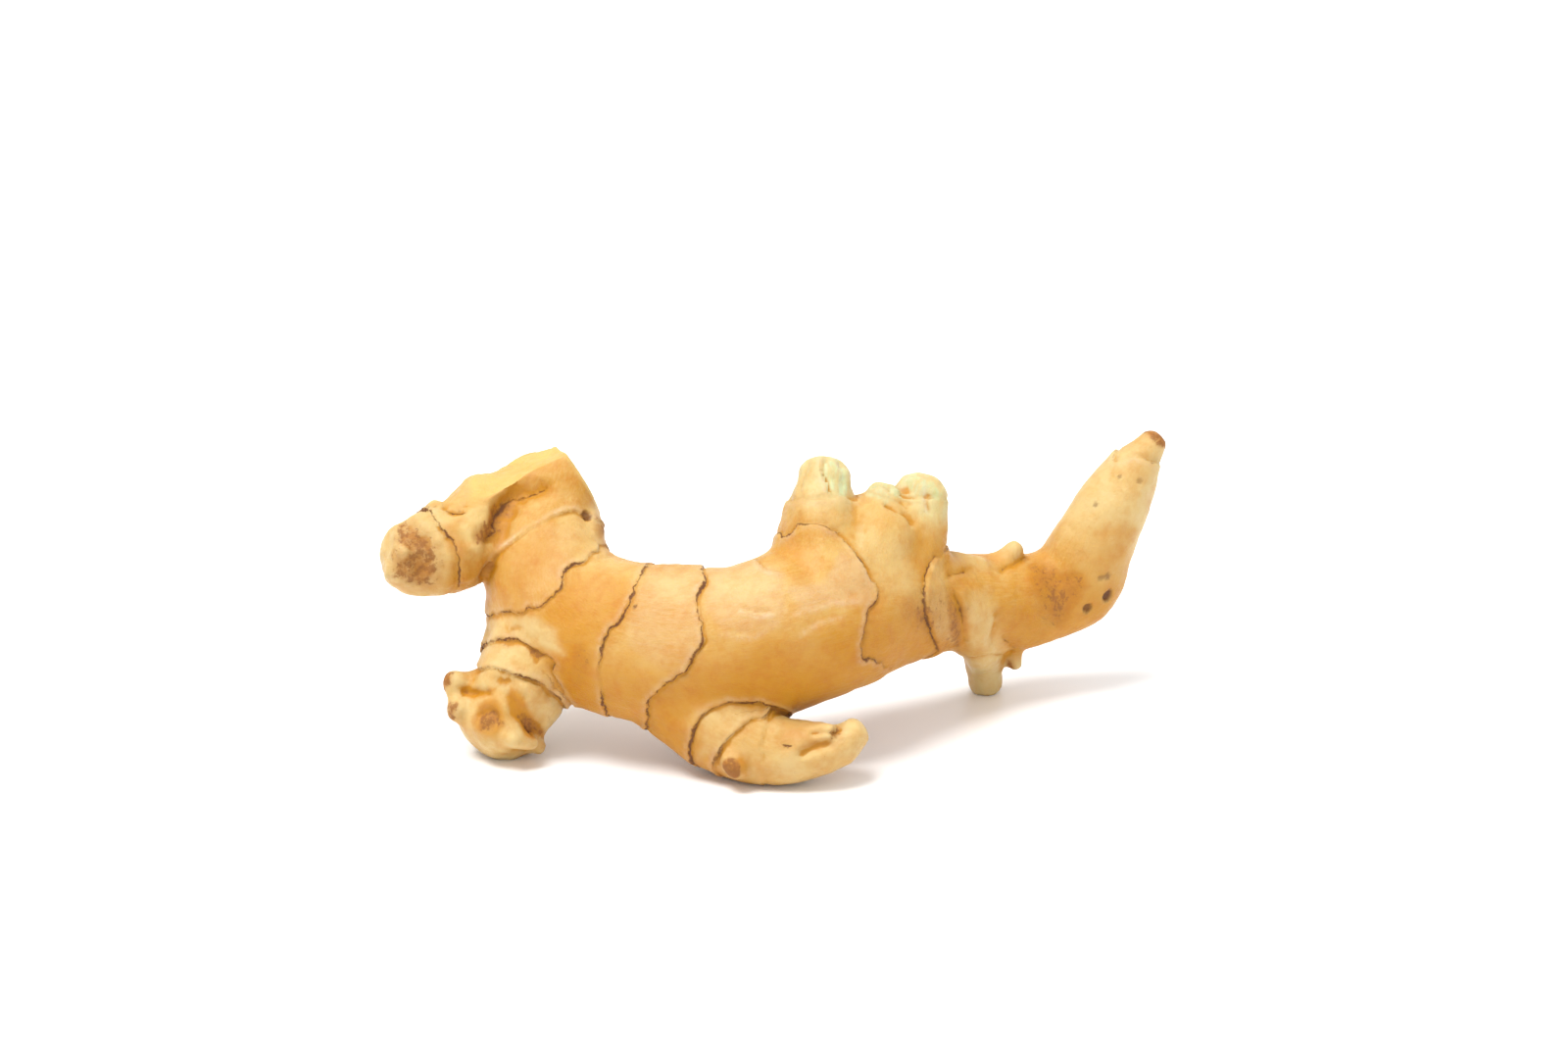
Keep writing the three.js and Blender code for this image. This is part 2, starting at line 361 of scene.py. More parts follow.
class GrowthLine:
    """The smooth line that a finger grew along, with its radius and the directions of its sections."""

    def __init__(self, stations: tuple[Station, ...], facing: Place) -> None:
        """Measures the line.

        Args:
            stations: x, y, z and radius from the base to the middle of the tip.
            facing: The direction in which the depth of a section is measured.
        """
        values = np.array(stations, float)
        centres = values[:, :3] - CENTRE
        ends = (2 * centres[0] - centres[1], 2 * centres[-1] - centres[-2])
        padded = np.vstack([ends[0], centres, ends[1]])
        radii = np.concatenate([values[:1, 3], values[:, 3], values[-1:, 3]])
        line, widths = [], []
        for i in range(len(centres) - 1):
            steps = np.linspace(0.0, 1.0, LINE_STEPS, endpoint=i == len(centres) - 2)
            line.append(self._stretch(padded[i : i + 4], steps))
            widths.append(self._widths(radii[i : i + 4], steps))
        self.points = np.vstack(line)
        self.radii = np.concatenate(widths)
        gaps = np.linalg.norm(np.diff(self.points, axis=0), axis=1)
        self.distances = np.concatenate([[0.0], np.cumsum(gaps)])
        self.length = self.distances[-1]
        tangents = np.gradient(self.points, self.distances, axis=0)
        self.tangents = tangents / np.linalg.norm(tangents, axis=1, keepdims=True)
        self.facing = np.array(facing)

    @staticmethod
    def _stretch(four: np.ndarray, steps: np.ndarray) -> np.ndarray:
        """The line between the middle two of four stations, without overshoot where they are uneven."""
        spans = np.sqrt(np.linalg.norm(np.diff(four, axis=0), axis=1))
        first = (four[1] - four[0]) / spans[0] - (four[2] - four[0]) / (spans[0] + spans[1])
        leave = (first + (four[2] - four[1]) / spans[1]) * spans[1]
        last = (four[2] - four[1]) / spans[1] - (four[3] - four[1]) / (spans[1] + spans[2])
        arrive = (last + (four[3] - four[2]) / spans[2]) * spans[1]
        t = steps[:, None]
        rise = 3 * t**2 - 2 * t**3
        start = t**3 - 2 * t**2 + t
        end = t**3 - t**2
        return four[1] * (1 - rise) + four[2] * rise + leave * start + arrive * end

    @staticmethod
    def _widths(four: np.ndarray, steps: np.ndarray) -> np.ndarray:
        """The radius between the middle two of four stations."""
        leave = (four[2] - four[0]) / 2
        arrive = (four[3] - four[1]) / 2
        rise = 3 * steps**2 - 2 * steps**3
        start = steps**3 - 2 * steps**2 + steps
        end = steps**3 - steps**2
        return four[1] * (1 - rise) + four[2] * rise + leave * start + arrive * end

    def sections(self, places: np.ndarray) -> tuple[np.ndarray, np.ndarray, np.ndarray, np.ndarray]:
        """Gives the sections at distances along the line.

        Args:
            places: Distances from the base. Past either end the line runs straight on.

        Returns:
            The centres, the directions across, the directions deep and the radii.
        """
        places = np.asarray(places, float)
        inside = np.clip(places, 0.0, self.length)
        centres = np.stack([np.interp(inside, self.distances, axis) for axis in self.points.T], axis=1)
        tangents = np.stack([np.interp(inside, self.distances, axis) for axis in self.tangents.T], axis=1)
        tangents /= np.linalg.norm(tangents, axis=1, keepdims=True)
        centres += tangents * (places - inside)[:, None]
        deep = self.facing - tangents * (tangents @ self.facing)[:, None]
        deep /= np.linalg.norm(deep, axis=1, keepdims=True)
        across = np.cross(tangents, deep)
        radii = np.interp(inside, self.distances, self.radii)
        return centres, across, deep, radii

    def nearest(self, points: np.ndarray) -> np.ndarray:
        """Finds how far along the line places lie.

        Args:
            points: The places, one row each.

        Returns:
            The distance along the line of the point nearest to each place.
        """
        squares = (self.points**2).sum(axis=1) - 2.0 * points @ self.points.T
        index = squares.argmin(axis=1)
        away = points - self.points[index]
        return self.distances[index] + (away * self.tangents[index]).sum(axis=1)


@dataclass
class Finger:
    """One finger, bud or stub: a turned profile, bent along the line that it grew along."""

    name: str
    stations: tuple[Station, ...]
    sides: int = 40
    deep: float = 0.95  # depth of its sections as a share of their width
    facing: Place = BACKWARD  # the direction of that depth
    nose: float = 0.75  # length of its round tip as a share of the tip's radius
    melt: float = 1.0  # how softly it runs into the others, from 0, a crease, to 1, a hollow
    lump: float = LUMP
    rough: float = 0.0  # how high its knobbly unevenness is
    pale: tuple[float, float] = (2.0, 3.0)  # shares of its length between which it turns pale
    green: float = 0.0  # how greenish its tip is
    brown_end: float = 0.0  # how brown the end of its tip is
    line: GrowthLine = field(init=False)

    def __post_init__(self) -> None:
        """Measures the finger's line."""
        self.line = GrowthLine(self.stations, self.facing)

    def _profile(self) -> list[tuple[float, float]]:
        """The distance along the finger and the radius of each ring, from the base to the tip."""
        length = self.line.length
        count = max(2, round(length / ROW_STEP))
        places = np.linspace(0.0, length, count + 1)
        radii = self.line.sections(places)[3]
        rows = list(zip(places.tolist(), radii.tolist()))
        tip = radii[-1]
        for i in range(1, TIP_ROWS):
            turn = math.pi / 2 * i / TIP_ROWS
            rows.append((length + tip * self.nose * math.sin(turn), tip * math.cos(turn)))
        return rows

    def _turn(self) -> bpy.types.Object:
        """Turns the profile about the Z axis, ring by ring, and closes its tip."""
        rows = self._profile()
        bpy.ops.mesh.primitive_circle_add(vertices=self.sides, radius=rows[0][1], fill_type="NGON")
        piece = bpy.context.object
        bpy.ops.object.mode_set(mode="EDIT")
        for (last_place, last_radius), (place, radius) in zip(rows, rows[1:]):
            step = (0.0, 0.0, place - last_place)
            share = radius / last_radius
            bpy.ops.mesh.extrude_region_move(TRANSFORM_OT_translate={"value": step})
            bpy.ops.transform.resize(value=(share, share, 1.0), center_override=(0.0, 0.0, place))
        bpy.ops.mesh.merge(type="CENTER")
        bpy.ops.object.mode_set(mode="OBJECT")
        return piece

    def build(self, seed: float) -> bpy.types.Object:
        """Makes the finger's closed mesh where it grows on the root.

        Args:
            seed: Makes its lumps differ from those of the others.

        Returns:
            The finger's object, at the origin.
        """
        piece = self._turn()
        piece.name = self.name
        points = read_points(piece.data)
        radius = np.hypot(points[:, 0], points[:, 1])
        angle = np.arctan2(points[:, 1], points[:, 0])
        place = points[:, 2]
        lumps = np.sin(2 * angle + seed + place / 9) + 0.7 * np.sin(3 * angle - seed - place / 6)
        reach = radius * (1 + self.lump * lumps)
        centres, across, deep, _ = self.line.sections(place)
        centres += across * (reach * np.cos(angle))[:, None]
        centres += deep * (reach * self.deep * np.sin(angle))[:, None]
        write_points(piece.data, centres)
        bpy.ops.object.mode_set(mode="EDIT")
        bpy.ops.mesh.select_all(action="SELECT")
        bpy.ops.mesh.normals_make_consistent(inside=False)
        bpy.ops.object.mode_set(mode="OBJECT")
        return piece

    def measure(self, points: np.ndarray) -> tuple[np.ndarray, np.ndarray, np.ndarray, np.ndarray]:
        """Measures places against the finger.

        Args:
            points: The places, one row each.

        Returns:
            The distance along the finger, the offsets across and deep from its line, and how far outside
            the finger's surface each place is.
        """
        place = self.line.nearest(points)
        centres, across, deep, radii = self.line.sections(place)
        away = points - centres
        aside = (away * across).sum(axis=1)
        inward = (away * deep).sum(axis=1)
        past = np.maximum(place - self.line.length, 0.0) / self.nose + np.maximum(-place, 0.0)
        gap = np.sqrt(aside**2 + (inward / self.deep) ** 2 + past**2) - radii
        return place, aside, inward, gap


def small_bud(
    name: str,
    base: Place,
    tip: Place,
    radius: float,
    facing: Place = UPWARD,
    brown_end: float = 0.0,
    green: float = 0.0,
    melt: float = 0.55,
) -> Finger:
    """A small bud or the stub of a root.

    Args:
        name: What it is called.
        base: Where it starts, inside a finger.
        tip: The middle of its round tip.
        radius: Its radius at the tip.
        facing: The direction in which the depth of a section is measured.
        brown_end: How brown the end of its tip is.
        green: How greenish its tip is.
        melt: How softly it runs into the others.

    Returns:
        The bud as a finger of its own.
    """
    stations = ((*base, BUD_FLARE * radius), (*tip, radius))
    return Finger(
        name=name, stations=stations, sides=24, deep=1.0, facing=facing, nose=0.6, melt=melt,
        lump=0.08, rough=0.5, pale=(0.2, 1.0), green=green, brown_end=brown_end,
    )


FINGERS = (
    Finger(
        name="trunk",
        deep=0.94,
        nose=0.6,
        sides=56,
        stations=(
            (-51, 31, 66, 6.4), (-52.5, 29.5, 61, 9.4), (-55, 26.5, 54.5, 11.6), (-57, 22, 47.5, 14),
            (-56.5, 16, 40, 15.8), (-50.5, 10, 33, 17.4), (-40.5, 4, 29.5, 18), (-27.5, 0, 28.3, 18.3),
            (-12.5, -2, 29.3, 18.4), (0, 0, 32, 19.1), (11.5, 6, 33.6, 18.7), (21, 13, 33, 17),
            (30.5, 20, 30.8, 14), (39, 27, 28.6, 12.1), (49, 33, 26.5, 11.8), (60, 38, 25, 11.6),
            (68.5, 41, 25.5, 10.4),
        ),
    ),
    Finger(
        name="blunt finger",
        nose=0.35,
        melt=0.25,
        rough=0.9,
        pale=(0.5, 1.1),
        stations=(
            (-56.5, 31, 58.4, 8.7), (-63.5, 27, 58.3, 8.0), (-70, 22, 55.2, 8.6), (-75.6, 16, 49.2, 11),
            (-82, 12, 47.1, 10.8), (-87, 9, 47.2, 9.4), (-91, 7, 48, 7.6),
        ),
    ),
    Finger(
        name="knobbed finger",
        melt=0.8,
        rough=0.7,
        pale=(-0.3, 0.7),
        stations=(
            (-57.5, 14, 31, 14.4), (-59, 8, 24, 12.9), (-60.7, 3, 18.6, 12.1), (-64.5, 2, 12.2, 11.2),
            (-68, 1, 7, 9.6),
        ),
    ),
    Finger(
        name="claw finger",
        deep=0.96,
        nose=0.5,
        rough=0.4,
        pale=(0.3, 0.85),
        stations=(
            (-27, 0, 22, 15), (-20.5, -5, 16.6, 13), (-12.5, -11, 11.6, 11), (-3, -15.5, 8.6, 8.8),
            (5.7, -17, 8.8, 7.1), (12.5, -17, 10, 5.4), (17, -16, 13.2, 3.4),
        ),
    ),
    Finger(
        name="long finger",
        nose=0.8,
        rough=0.25,
        pale=(0.1, 0.7),
        stations=(
            (66, 39.5, 23.5, 10), (71, 41, 28.5, 11.2), (75.5, 42, 38, 10.1), (80.7, 43, 48.5, 9),
            (84.7, 44.5, 56, 6.8), (89.6, 46, 62.7, 3.4),
        ),
        brown_end=1.2,
    ),
    Finger(
        name="shoulder",
        nose=0.9,
        stations=((11.5, 6, 38, 16.5), (16, 11, 43, 15), (20.5, 15.5, 48.5, 12.4)),
    ),
    Finger(
        name="tall bud",
        nose=0.95,
        melt=0.6,
        lump=0.05,
        rough=0.6,
        pale=(0.5, 0.9),
        green=0.3,
        stations=((8.3, 5, 40, 16), (8.3, 9, 49, 11.8), (8.8, 12.5, 58.0, 8.6), (9.4, 15.5, 64.0, 6.2)),
    ),
    Finger(
        name="wide bud",
        melt=0.6,
        nose=0.9,
        lump=0.05,
        rough=0.6,
        pale=(0.4, 0.9),
        green=0.4,
        stations=((25, 17.5, 40, 13), (27.5, 19.5, 45, 11.6), (30.5, 22, 51.5, 8.9), (32.8, 24, 57, 6.3)),
    ),
    Finger(
        name="sheath",
        deep=1.0,
        sides=24,
        nose=0.8,
        melt=0.6,
        pale=(0.2, 0.9),
        brown_end=0.6,
        stations=((35.5, 26, 33.5, 7), (41.5, 27, 37.8, 4), (48.3, 28, 38.8, 1.3)),
    ),
    Finger(
        name="side bud",
        deep=1.0,
        sides=24,
        nose=0.9,
        melt=0.5,
        pale=(0.2, 0.9),
        stations=((47.5, 34, 32, 5), (52.8, 35, 35.7, 3.4), (56, 35.5, 38.6, 2.9)),
    ),
    Finger(
        name="peg",
        deep=1.0,
        sides=28,
        nose=0.6,
        melt=0.7,
        rough=0.35,
        pale=(-0.5, 0.6),
        brown_end=0.3,
        stations=((48, 34.5, 20, 7), (49, 37, 11, 5.3), (50, 39, 2.4, 4.2)),
    ),
    Finger(
        name="peg ridge",
        deep=1.0,
        sides=28,
        melt=0.9,
        rough=0.3,
        pale=(0.1, 1.0),
        stations=(
            (40.5, 20, 36, 3.0), (43, 20.4, 29.5, 4.8), (45.5, 23.3, 23, 5.4), (47.6, 28.5, 16.5, 4.9),
            (48.8, 34.8, 11, 4.4),
        ),
    ),
    Finger(
        name="collar",
        deep=1.0,
        sides=28,
        melt=0.8,
        pale=(0.0, 1.2),
        stations=((37.5, 24.5, 41.5, 2.6), (36.4, 18.6, 34.5, 4.2), (37.8, 20.0, 25, 3.6)),
    ),
    small_bud("upper left nub", (-72.5, 3.5, 16), (-78.6, 0.5, 18.3), 2.9, brown_end=1.3),
    small_bud("lower left nub", (-71.5, 1, 11.2), (-77.4, -3.5, 13.2), 3.0, brown_end=1.1),
    small_bud("front knob", (-67, -1, 9.5), (-68.6, -7.2, 9.6), 5.4, melt=0.9),
    small_bud("front ridge", (-66.5, -5.5, 14.5), (-61.4, -8.6, 9.6), 3.3, melt=0.7),
    small_bud("middle lobe", (-70, 0, 13.5), (-68.8, -5.0, 15.2), 3.4, melt=0.5),
    small_bud("inner lobe", (-60, -1, 14), (-61.5, -7.6, 13.4), 2.9, melt=0.4),
    small_bud("front cone", (-66.5, -5, 8.6), (-62.4, -11.2, 8.2), 2.3, melt=0.6),
    small_bud("right nub", (-64, -2, 8.4), (-59.2, -8.5, 8.0), 2.9),
    small_bud("low nub", (-61.5, 0, 4.8), (-57.4, -3.5, 3.6), 2.2, brown_end=0.3),
    small_bud("end nub", (-86, 7, 46.5), (-90.8, 2.5, 44.8), 2.4),
    small_bud("upper end nub", (-86.5, 8, 48.5), (-88.4, 2.5, 51.5), 2.0),
    small_bud("break knob", (-50, 20, 48.5), (-44.6, 19, 50.8), 3.6, BACKWARD, brown_end=0.8),
    small_bud("claw stub", (-8, -15, 8), (-11.8, -22.5, 7.2), 3.4, brown_end=1.4, melt=0.35),
    small_bud("upper claw tip", (1.0, -18, 11.4), (11.4, -20.0, 14.0), 2.7, BACKWARD, brown_end=0.9,
              melt=0.2),
    small_bud("crown bud", (21.5, 17, 51), (23.8, 20, 59), 4.3, BACKWARD, green=0.5, melt=0.3),
    small_bud("brown stub", (55.5, 36, 17), (56.4, 35.5, 8.8), 2.4, BACKWARD, brown_end=1.0),
    small_bud("far trunk bud", (-27, 11, 33), (-25.4, 18.6, 36.4), 3.0, brown_end=0.4),
    small_bud("far shoulder bud", (14, 19, 29), (15.4, 26.4, 28.2), 3.2, brown_end=0.4),
    small_bud("far finger bud", (77.5, 47, 42), (78.8, 53, 45.6), 2.3, brown_end=0.4),
)

PARTED = ("trunk", "blunt finger", "break knob")  # the fingers that the break goes through


class SeamForm(Enum):
    """The ways in which the skin changes its height across a seam."""

    SCAR = "scar"  # a rim where a leaf was attached, with a drop past it
    FOLD = "fold"  # a round edge that lies over the skin before it
    CREASE = "crease"  # a groove


@dataclass(frozen=True)
class Seam:
    """A line in the skin, read off the photograph where it shows and carried on round a finger behind."""

    name: str
    trace: tuple[Pixel, ...]
    form: SeamForm = SeamForm.SCAR
    around: str = ""  # the finger that it closes round, if it does
    height: float = 0.5  # how far the skin rises or sinks at it
    width: float = 2.4  # how far from it the rise or groove runs out
    dark: float = 0.6  # how brown its line is
    halo: float = 0.3  # how stained the skin beside it is
    jag: float = 0.5  # how ragged it is
    light: float = 0.0  # how much dry pale skin stands along its edge


SEAMS = (
    # The trunk's leaf scars, from the break to the long finger.
    Seam("break scar", ((487, 593), (507, 565), (539, 540), (570, 524), (589, 520)), around="trunk",
         height=0.4, width=1.6, dark=0.12, halo=0.15, jag=0.15, light=0.6),
    Seam("first scar", ((497, 628), (510, 625), (522, 624), (532, 626), (541, 619), (553, 619), (562, 609),
                        (572, 600), (574, 586), (579, 579), (595, 573), (607, 562), (612, 555)),
         around="trunk", height=0.42, dark=0.9, halo=0.5, jag=0.7, light=0.35),
    Seam("second scar", ((614, 659), (622, 645), (633, 633), (638, 621), (646, 607), (650, 593), (658, 581),
                         (661, 574)), around="trunk", height=0.34, dark=0.85, halo=0.4, jag=0.6, light=0.3),
    Seam("third scar", ((715, 581), (719, 593), (711, 616), (717, 635), (715, 656), (704, 675), (697, 687),
                        (680, 697), (666, 708), (660, 725), (661, 737), (659, 746)),
         around="trunk", height=0.55, dark=1.0, halo=0.7, jag=0.8, light=0.45),
    Seam("fourth scar", ((812, 533), (826, 534), (843, 537), (855, 543), (866, 553), (876, 567), (885, 586),
                         (894, 600), (894, 614), (885, 626), (883, 640), (878, 654), (881, 671), (895, 673),
                         (911, 684)), around="trunk", height=0.4, dark=1.0, halo=0.9, jag=0.8, light=0.45),
    Seam("collar fold", ((957, 565), (949, 575), (944, 590), (943, 609), (945, 628), (951, 649), (957, 663),
                         (964, 668)), SeamForm.FOLD, around="trunk", height=1.2, width=3.4, dark=1.0,
         halo=0.6, jag=0.2),
    # The folds and edges that lead to the long finger.
    Seam("peg fold", ((972, 598), (976, 611), (982, 626), (983, 640), (985, 659)), SeamForm.FOLD,
         height=1.5, width=3.4, dark=0.6, halo=1.0, jag=0.15),
    Seam("peg side", ((1018, 620), (1017, 636), (1014, 650), (1013, 663)), SeamForm.CREASE,
         height=0.9, width=1.8, dark=0.25, halo=0.5, jag=0.2),
    Seam("sheath edge", ((964, 592), (968, 586), (979, 585), (993, 577), (1002, 570)), SeamForm.CREASE,
         height=0.6, width=0.9, dark=0.7, halo=0.4, jag=0.15),
    Seam("side bud fold", ((1050, 567), (1036, 575), (1025, 580), (1018, 588)), SeamForm.CREASE,
         height=0.8, width=1.0, dark=0.7, halo=0.4, jag=0.15),
    Seam("long finger foot", ((1048, 574), (1060, 577), (1070, 585), (1080, 592), (1096, 588), (1106, 594)),
         SeamForm.CREASE, height=0.35, width=1.2, dark=0.35, halo=0.7, jag=0.6),
    Seam("foot line", ((1058, 628), (1070, 634), (1080, 641)), SeamForm.CREASE, height=0.3, width=0.8,
         dark=0.6, halo=0.3),
    Seam("stub line", ((1022, 646), (1025, 652), (1031, 657), (1037, 662)), SeamForm.CREASE, height=0.5,
         width=0.9, dark=0.8, halo=0.6),
    Seam("peg ring", ((985, 666), (994, 669), (1006, 666), (1019, 668)), around="peg", height=0.4,
         width=1.5, dark=0.3, halo=0.3, jag=0.2),
    Seam("tip sheath", ((1139, 472), (1146, 469), (1152, 467), (1160, 465), (1174, 472), (1187, 472)),
         around="long finger", height=0.4, width=1.6, dark=0.5, halo=0.4, jag=0.4, light=0.4),
    # The claw finger's rings.
    Seam("claw crescent", ((777, 710), (785, 713), (791, 718), (797, 727)), SeamForm.FOLD, height=0.8,
         width=1.8, dark=0.7, halo=0.3, jag=0.1),
    Seam("claw ring", ((705, 765), (708, 744), (715, 730), (727, 722), (741, 717), (763, 717), (779, 715)),
         around="claw finger", height=0.5, width=1.6, dark=0.95, halo=1.0, jag=0.4, light=0.4),
    Seam("claw second ring", ((728, 779), (734, 767), (744, 753), (756, 741), (767, 734), (781, 732)),
         around="claw finger", height=0.6, width=1.6, dark=0.8, halo=1.0, jag=0.5, light=0.4),
    Seam("claw third ring", ((779, 746), (776, 760), (779, 777), (782, 791)), around="claw finger",
         height=0.35, width=1.6, dark=0.25, halo=0.2, jag=0.3),
    Seam("claw tick", ((797, 759), (803, 761), (811, 760)), SeamForm.CREASE, height=0.3, width=0.7,
         dark=0.8, halo=0.3),
    Seam("claw tip edge", ((812, 771), (825, 765), (838, 760), (852, 757), (861, 748)), SeamForm.CREASE,
         height=1.6, width=1.2, dark=0.35, halo=0.7, jag=0.1),
    Seam("claw hollow", ((822, 748), (834, 746), (845, 747), (856, 745), (862, 738)), SeamForm.CREASE,
         height=1.2, width=1.1, dark=0.5, halo=1.0, jag=0.2),
    # The bands of the knobbed finger.
    Seam("knob band", ((494, 657), (510, 653), (527, 652), (541, 658), (553, 666), (563, 670), (571, 679)),
         around="knobbed finger", height=0.6, width=1.6, dark=1.0, halo=1.0, jag=0.4, light=0.4),
    Seam("knob second band", ((487, 683), (501, 680), (513, 684), (527, 688), (545, 694), (560, 702)),
         around="knobbed finger", height=0.7, width=1.6, dark=0.75, halo=1.0, jag=0.3, light=0.4),
    Seam("knob hollow", ((501, 685), (513, 699), (520, 713), (529, 730), (541, 739), (555, 751)),
         SeamForm.CREASE, height=2.2, width=1.7, dark=0.7, halo=1.1, jag=0.2),
    Seam("knob upper crease", ((468, 704), (480, 707), (492, 706), (504, 709)), SeamForm.CREASE,
         height=1.1, width=1.0, dark=0.4, halo=0.7, jag=0.2),
    Seam("knob disc", ((487, 741), (484, 732), (490, 725), (501, 723), (508, 729), (509, 739), (512, 750)),
         SeamForm.CREASE, height=0.7, width=0.9, dark=0.4, halo=0.8, jag=0.2),
    Seam("knob inner crease", ((513, 690), (522, 697), (530, 706), (540, 714)), SeamForm.CREASE,
         height=0.9, width=1.1, dark=0.3, halo=0.6, jag=0.3),
    Seam("knob hook", ((520, 643), (525, 640), (530, 640), (533, 645)), SeamForm.CREASE, height=0.35,
         width=0.7, dark=0.5, halo=0.4, jag=0.1),
    # The blunt finger.
    Seam("blunt crevice", ((567, 490), (555, 497), (541, 501), (522, 510), (513, 522), (508, 531),
                           (510, 543), (501, 550), (489, 553)), SeamForm.CREASE, height=2.4, width=2.4,
         dark=0.8, halo=1.2, jag=0.3),
    Seam("blunt arm ring", ((480, 491), (480, 500), (476, 511), (473, 520)), SeamForm.CREASE, height=0.6,
         width=1.5, dark=0.25, halo=0.4, jag=0.3, light=0.2),
    Seam("blunt foot", ((501, 571), (494, 585), (487, 599), (482, 609)), SeamForm.CREASE, height=1.3,
         width=1.6, dark=0.5, halo=0.6, jag=0.2),
    Seam("blunt top seam", ((440, 521), (446, 515), (451, 513), (454, 520), (470, 522), (482, 522)),
         SeamForm.CREASE, height=1.1, width=1.2, dark=0.9, halo=0.7, jag=0.4),
    Seam("blunt ring", ((449, 537), (461, 553), (468, 569), (467, 583), (470, 594), (458, 608), (444, 611)),
         around="blunt finger", height=0.5, width=1.6, dark=1.1, halo=0.8, jag=0.6, light=0.3),
    # The buds on top.
    Seam("tall bud collar", ((803, 512), (817, 511), (829, 510), (845, 511), (858, 506)),
         around="tall bud", height=0.3, width=1.8, dark=0.35, halo=0.4, jag=0.6, light=0.2),
    Seam("tall bud seam", ((841, 466), (836, 480), (843, 492), (847, 507)), SeamForm.SCAR, height=0.7,
         width=1.4, dark=0.2, halo=0.2, jag=0.2, light=0.7),
    Seam("tall bud left seam", ((826, 468), (820, 482), (817, 496), (816, 509)), SeamForm.CREASE,
         height=0.7, width=1.0, dark=0.2, halo=0.25, jag=0.2),
    Seam("tall bud right seam", ((857, 468), (861, 482), (862, 500)), SeamForm.CREASE, height=0.5,
         width=0.9, dark=0.1, halo=0.1, jag=0.2, light=0.6),
    Seam("wide bud left seam", ((929, 483), (924, 492), (925, 506)), SeamForm.CREASE, height=0.8,
         width=1.0, dark=0.3, halo=0.3, jag=0.2, light=0.5),
    Seam("wide bud right seam", ((944, 484), (948, 496), (946, 510), (950, 528)), SeamForm.CREASE,
         height=0.5, width=0.9, dark=0.12, halo=0.1, jag=0.2, light=0.6),
    Seam("crown seam", ((884, 498), (893, 494), (903, 495), (914, 503)), SeamForm.CREASE, height=0.9,
         width=0.9, dark=0.5, halo=0.7, jag=0.5, light=0.4),
    Seam("blunt end edge", ((412, 531), (428, 538), (441, 551), (449, 571), (448, 590), (440, 604)),
         SeamForm.CREASE, height=0.4, width=1.2, dark=0.3, halo=0.4, jag=0.4),
    Seam("wide bud collar", ((900, 512), (912, 517), (925, 525), (936, 541)), SeamForm.CREASE, height=1.1,
         width=1.4, dark=0.35, halo=0.5, jag=0.3, light=0.3),
    Seam("wide bud ring", ((915, 506), (930, 508), (945, 507), (961, 508)), around="wide bud", height=0.3,
         width=1.5, dark=0.25, halo=0.2, jag=0.6),
    Seam("wide bud tick", ((940, 528), (942, 523), (945, 519)), SeamForm.CREASE, height=0.3, width=0.7,
         dark=0.8, halo=0.2, jag=0.1),
    # Short lines and lifted skin on the trunk.
    Seam("trunk flake", ((762, 567), (770, 571), (781, 581), (792, 583), (804, 585)), height=0.5,
         width=1.4, dark=0.5, halo=0.3, jag=0.3, light=0.7),
    Seam("trunk patch edge", ((731, 640), (746, 646), (767, 648), (781, 642), (791, 633), (803, 635)),
         height=0.1, width=1.0, dark=0.12, halo=0.1, jag=0.6, light=0.4),
    Seam("trunk patch tip", ((753, 619), (764, 623), (774, 626), (793, 624)), height=0.3, width=1.2,
         dark=0.3, halo=0.1, jag=0.3, light=0.7),
    Seam("trunk band edge", ((803, 627), (818, 622), (832, 619), (848, 614), (866, 613), (884, 607)),
         height=0.06, width=1.0, dark=0.08, halo=0.1, jag=1.0, light=0.4),
    Seam("shoulder edge", ((812, 650), (822, 640), (836, 633), (850, 628), (865, 622)),
         SeamForm.CREASE, height=0.15, width=1.2, dark=0.05, halo=0.05, jag=0.6, light=0.5),
)


@dataclass(frozen=True)
class SeamCut:
    """How each form of seam is cut. Heights are shares of a seam's height, and runs of its width."""

    rim: float = 1.3
    rim_run: float = 1.4
    drop: float = 0.6
    drop_run: float = 0.8
    step: float = 0.25  # half the width of the step from the rim to the drop, in millimetres
    groove: float = 0.6
    groove_place: float = 0.35  # past the seam, in millimetres
    groove_reach: float = 0.6  # half its width, in millimetres
    valley: float = 0.45
    valley_run: float = 0.7
    valley_end: float = 0.4  # how far the valley reaches past the seam, in millimetres
    ridge_start: float = 0.5  # how far the ridge rises over, in millimetres
    ridge_run: float = 1.7

    def rise(self, seam: Seam, apart: np.ndarray) -> np.ndarray:
        """How far the skin rises at distances past a seam.

        Args:
            seam: The seam.
            apart: The distances, negative before the seam.

        Returns:
            The height at each distance, negative where the skin sinks.
        """
        before = np.minimum(apart, 0.0)
        beyond = np.maximum(apart, 0.0)
        if seam.form is SeamForm.SCAR:
            rim = self.rim * np.exp(before / (self.rim_run * seam.width))
            drop = self.drop * np.exp(-beyond / (self.drop_run * seam.width))
            past = smooth_step(-self.step, self.step, apart)
            groove = self.groove * np.exp(-(((apart - self.groove_place) / self.groove_reach) ** 2))
            return seam.height * (rim * (1.0 - past) - drop * past - groove)
        if seam.form is SeamForm.FOLD:
            fading = before / (self.valley_run * seam.width) - beyond / self.valley_end
            rising = 1.0 - np.exp(-beyond / self.ridge_start)
            ridge = rising * np.exp(-beyond / (self.ridge_run * seam.width))
            return seam.height * (ridge - self.valley * np.exp(fading))
        return -seam.height * np.exp(-((apart / seam.width) ** 2))


CUT = SeamCut()


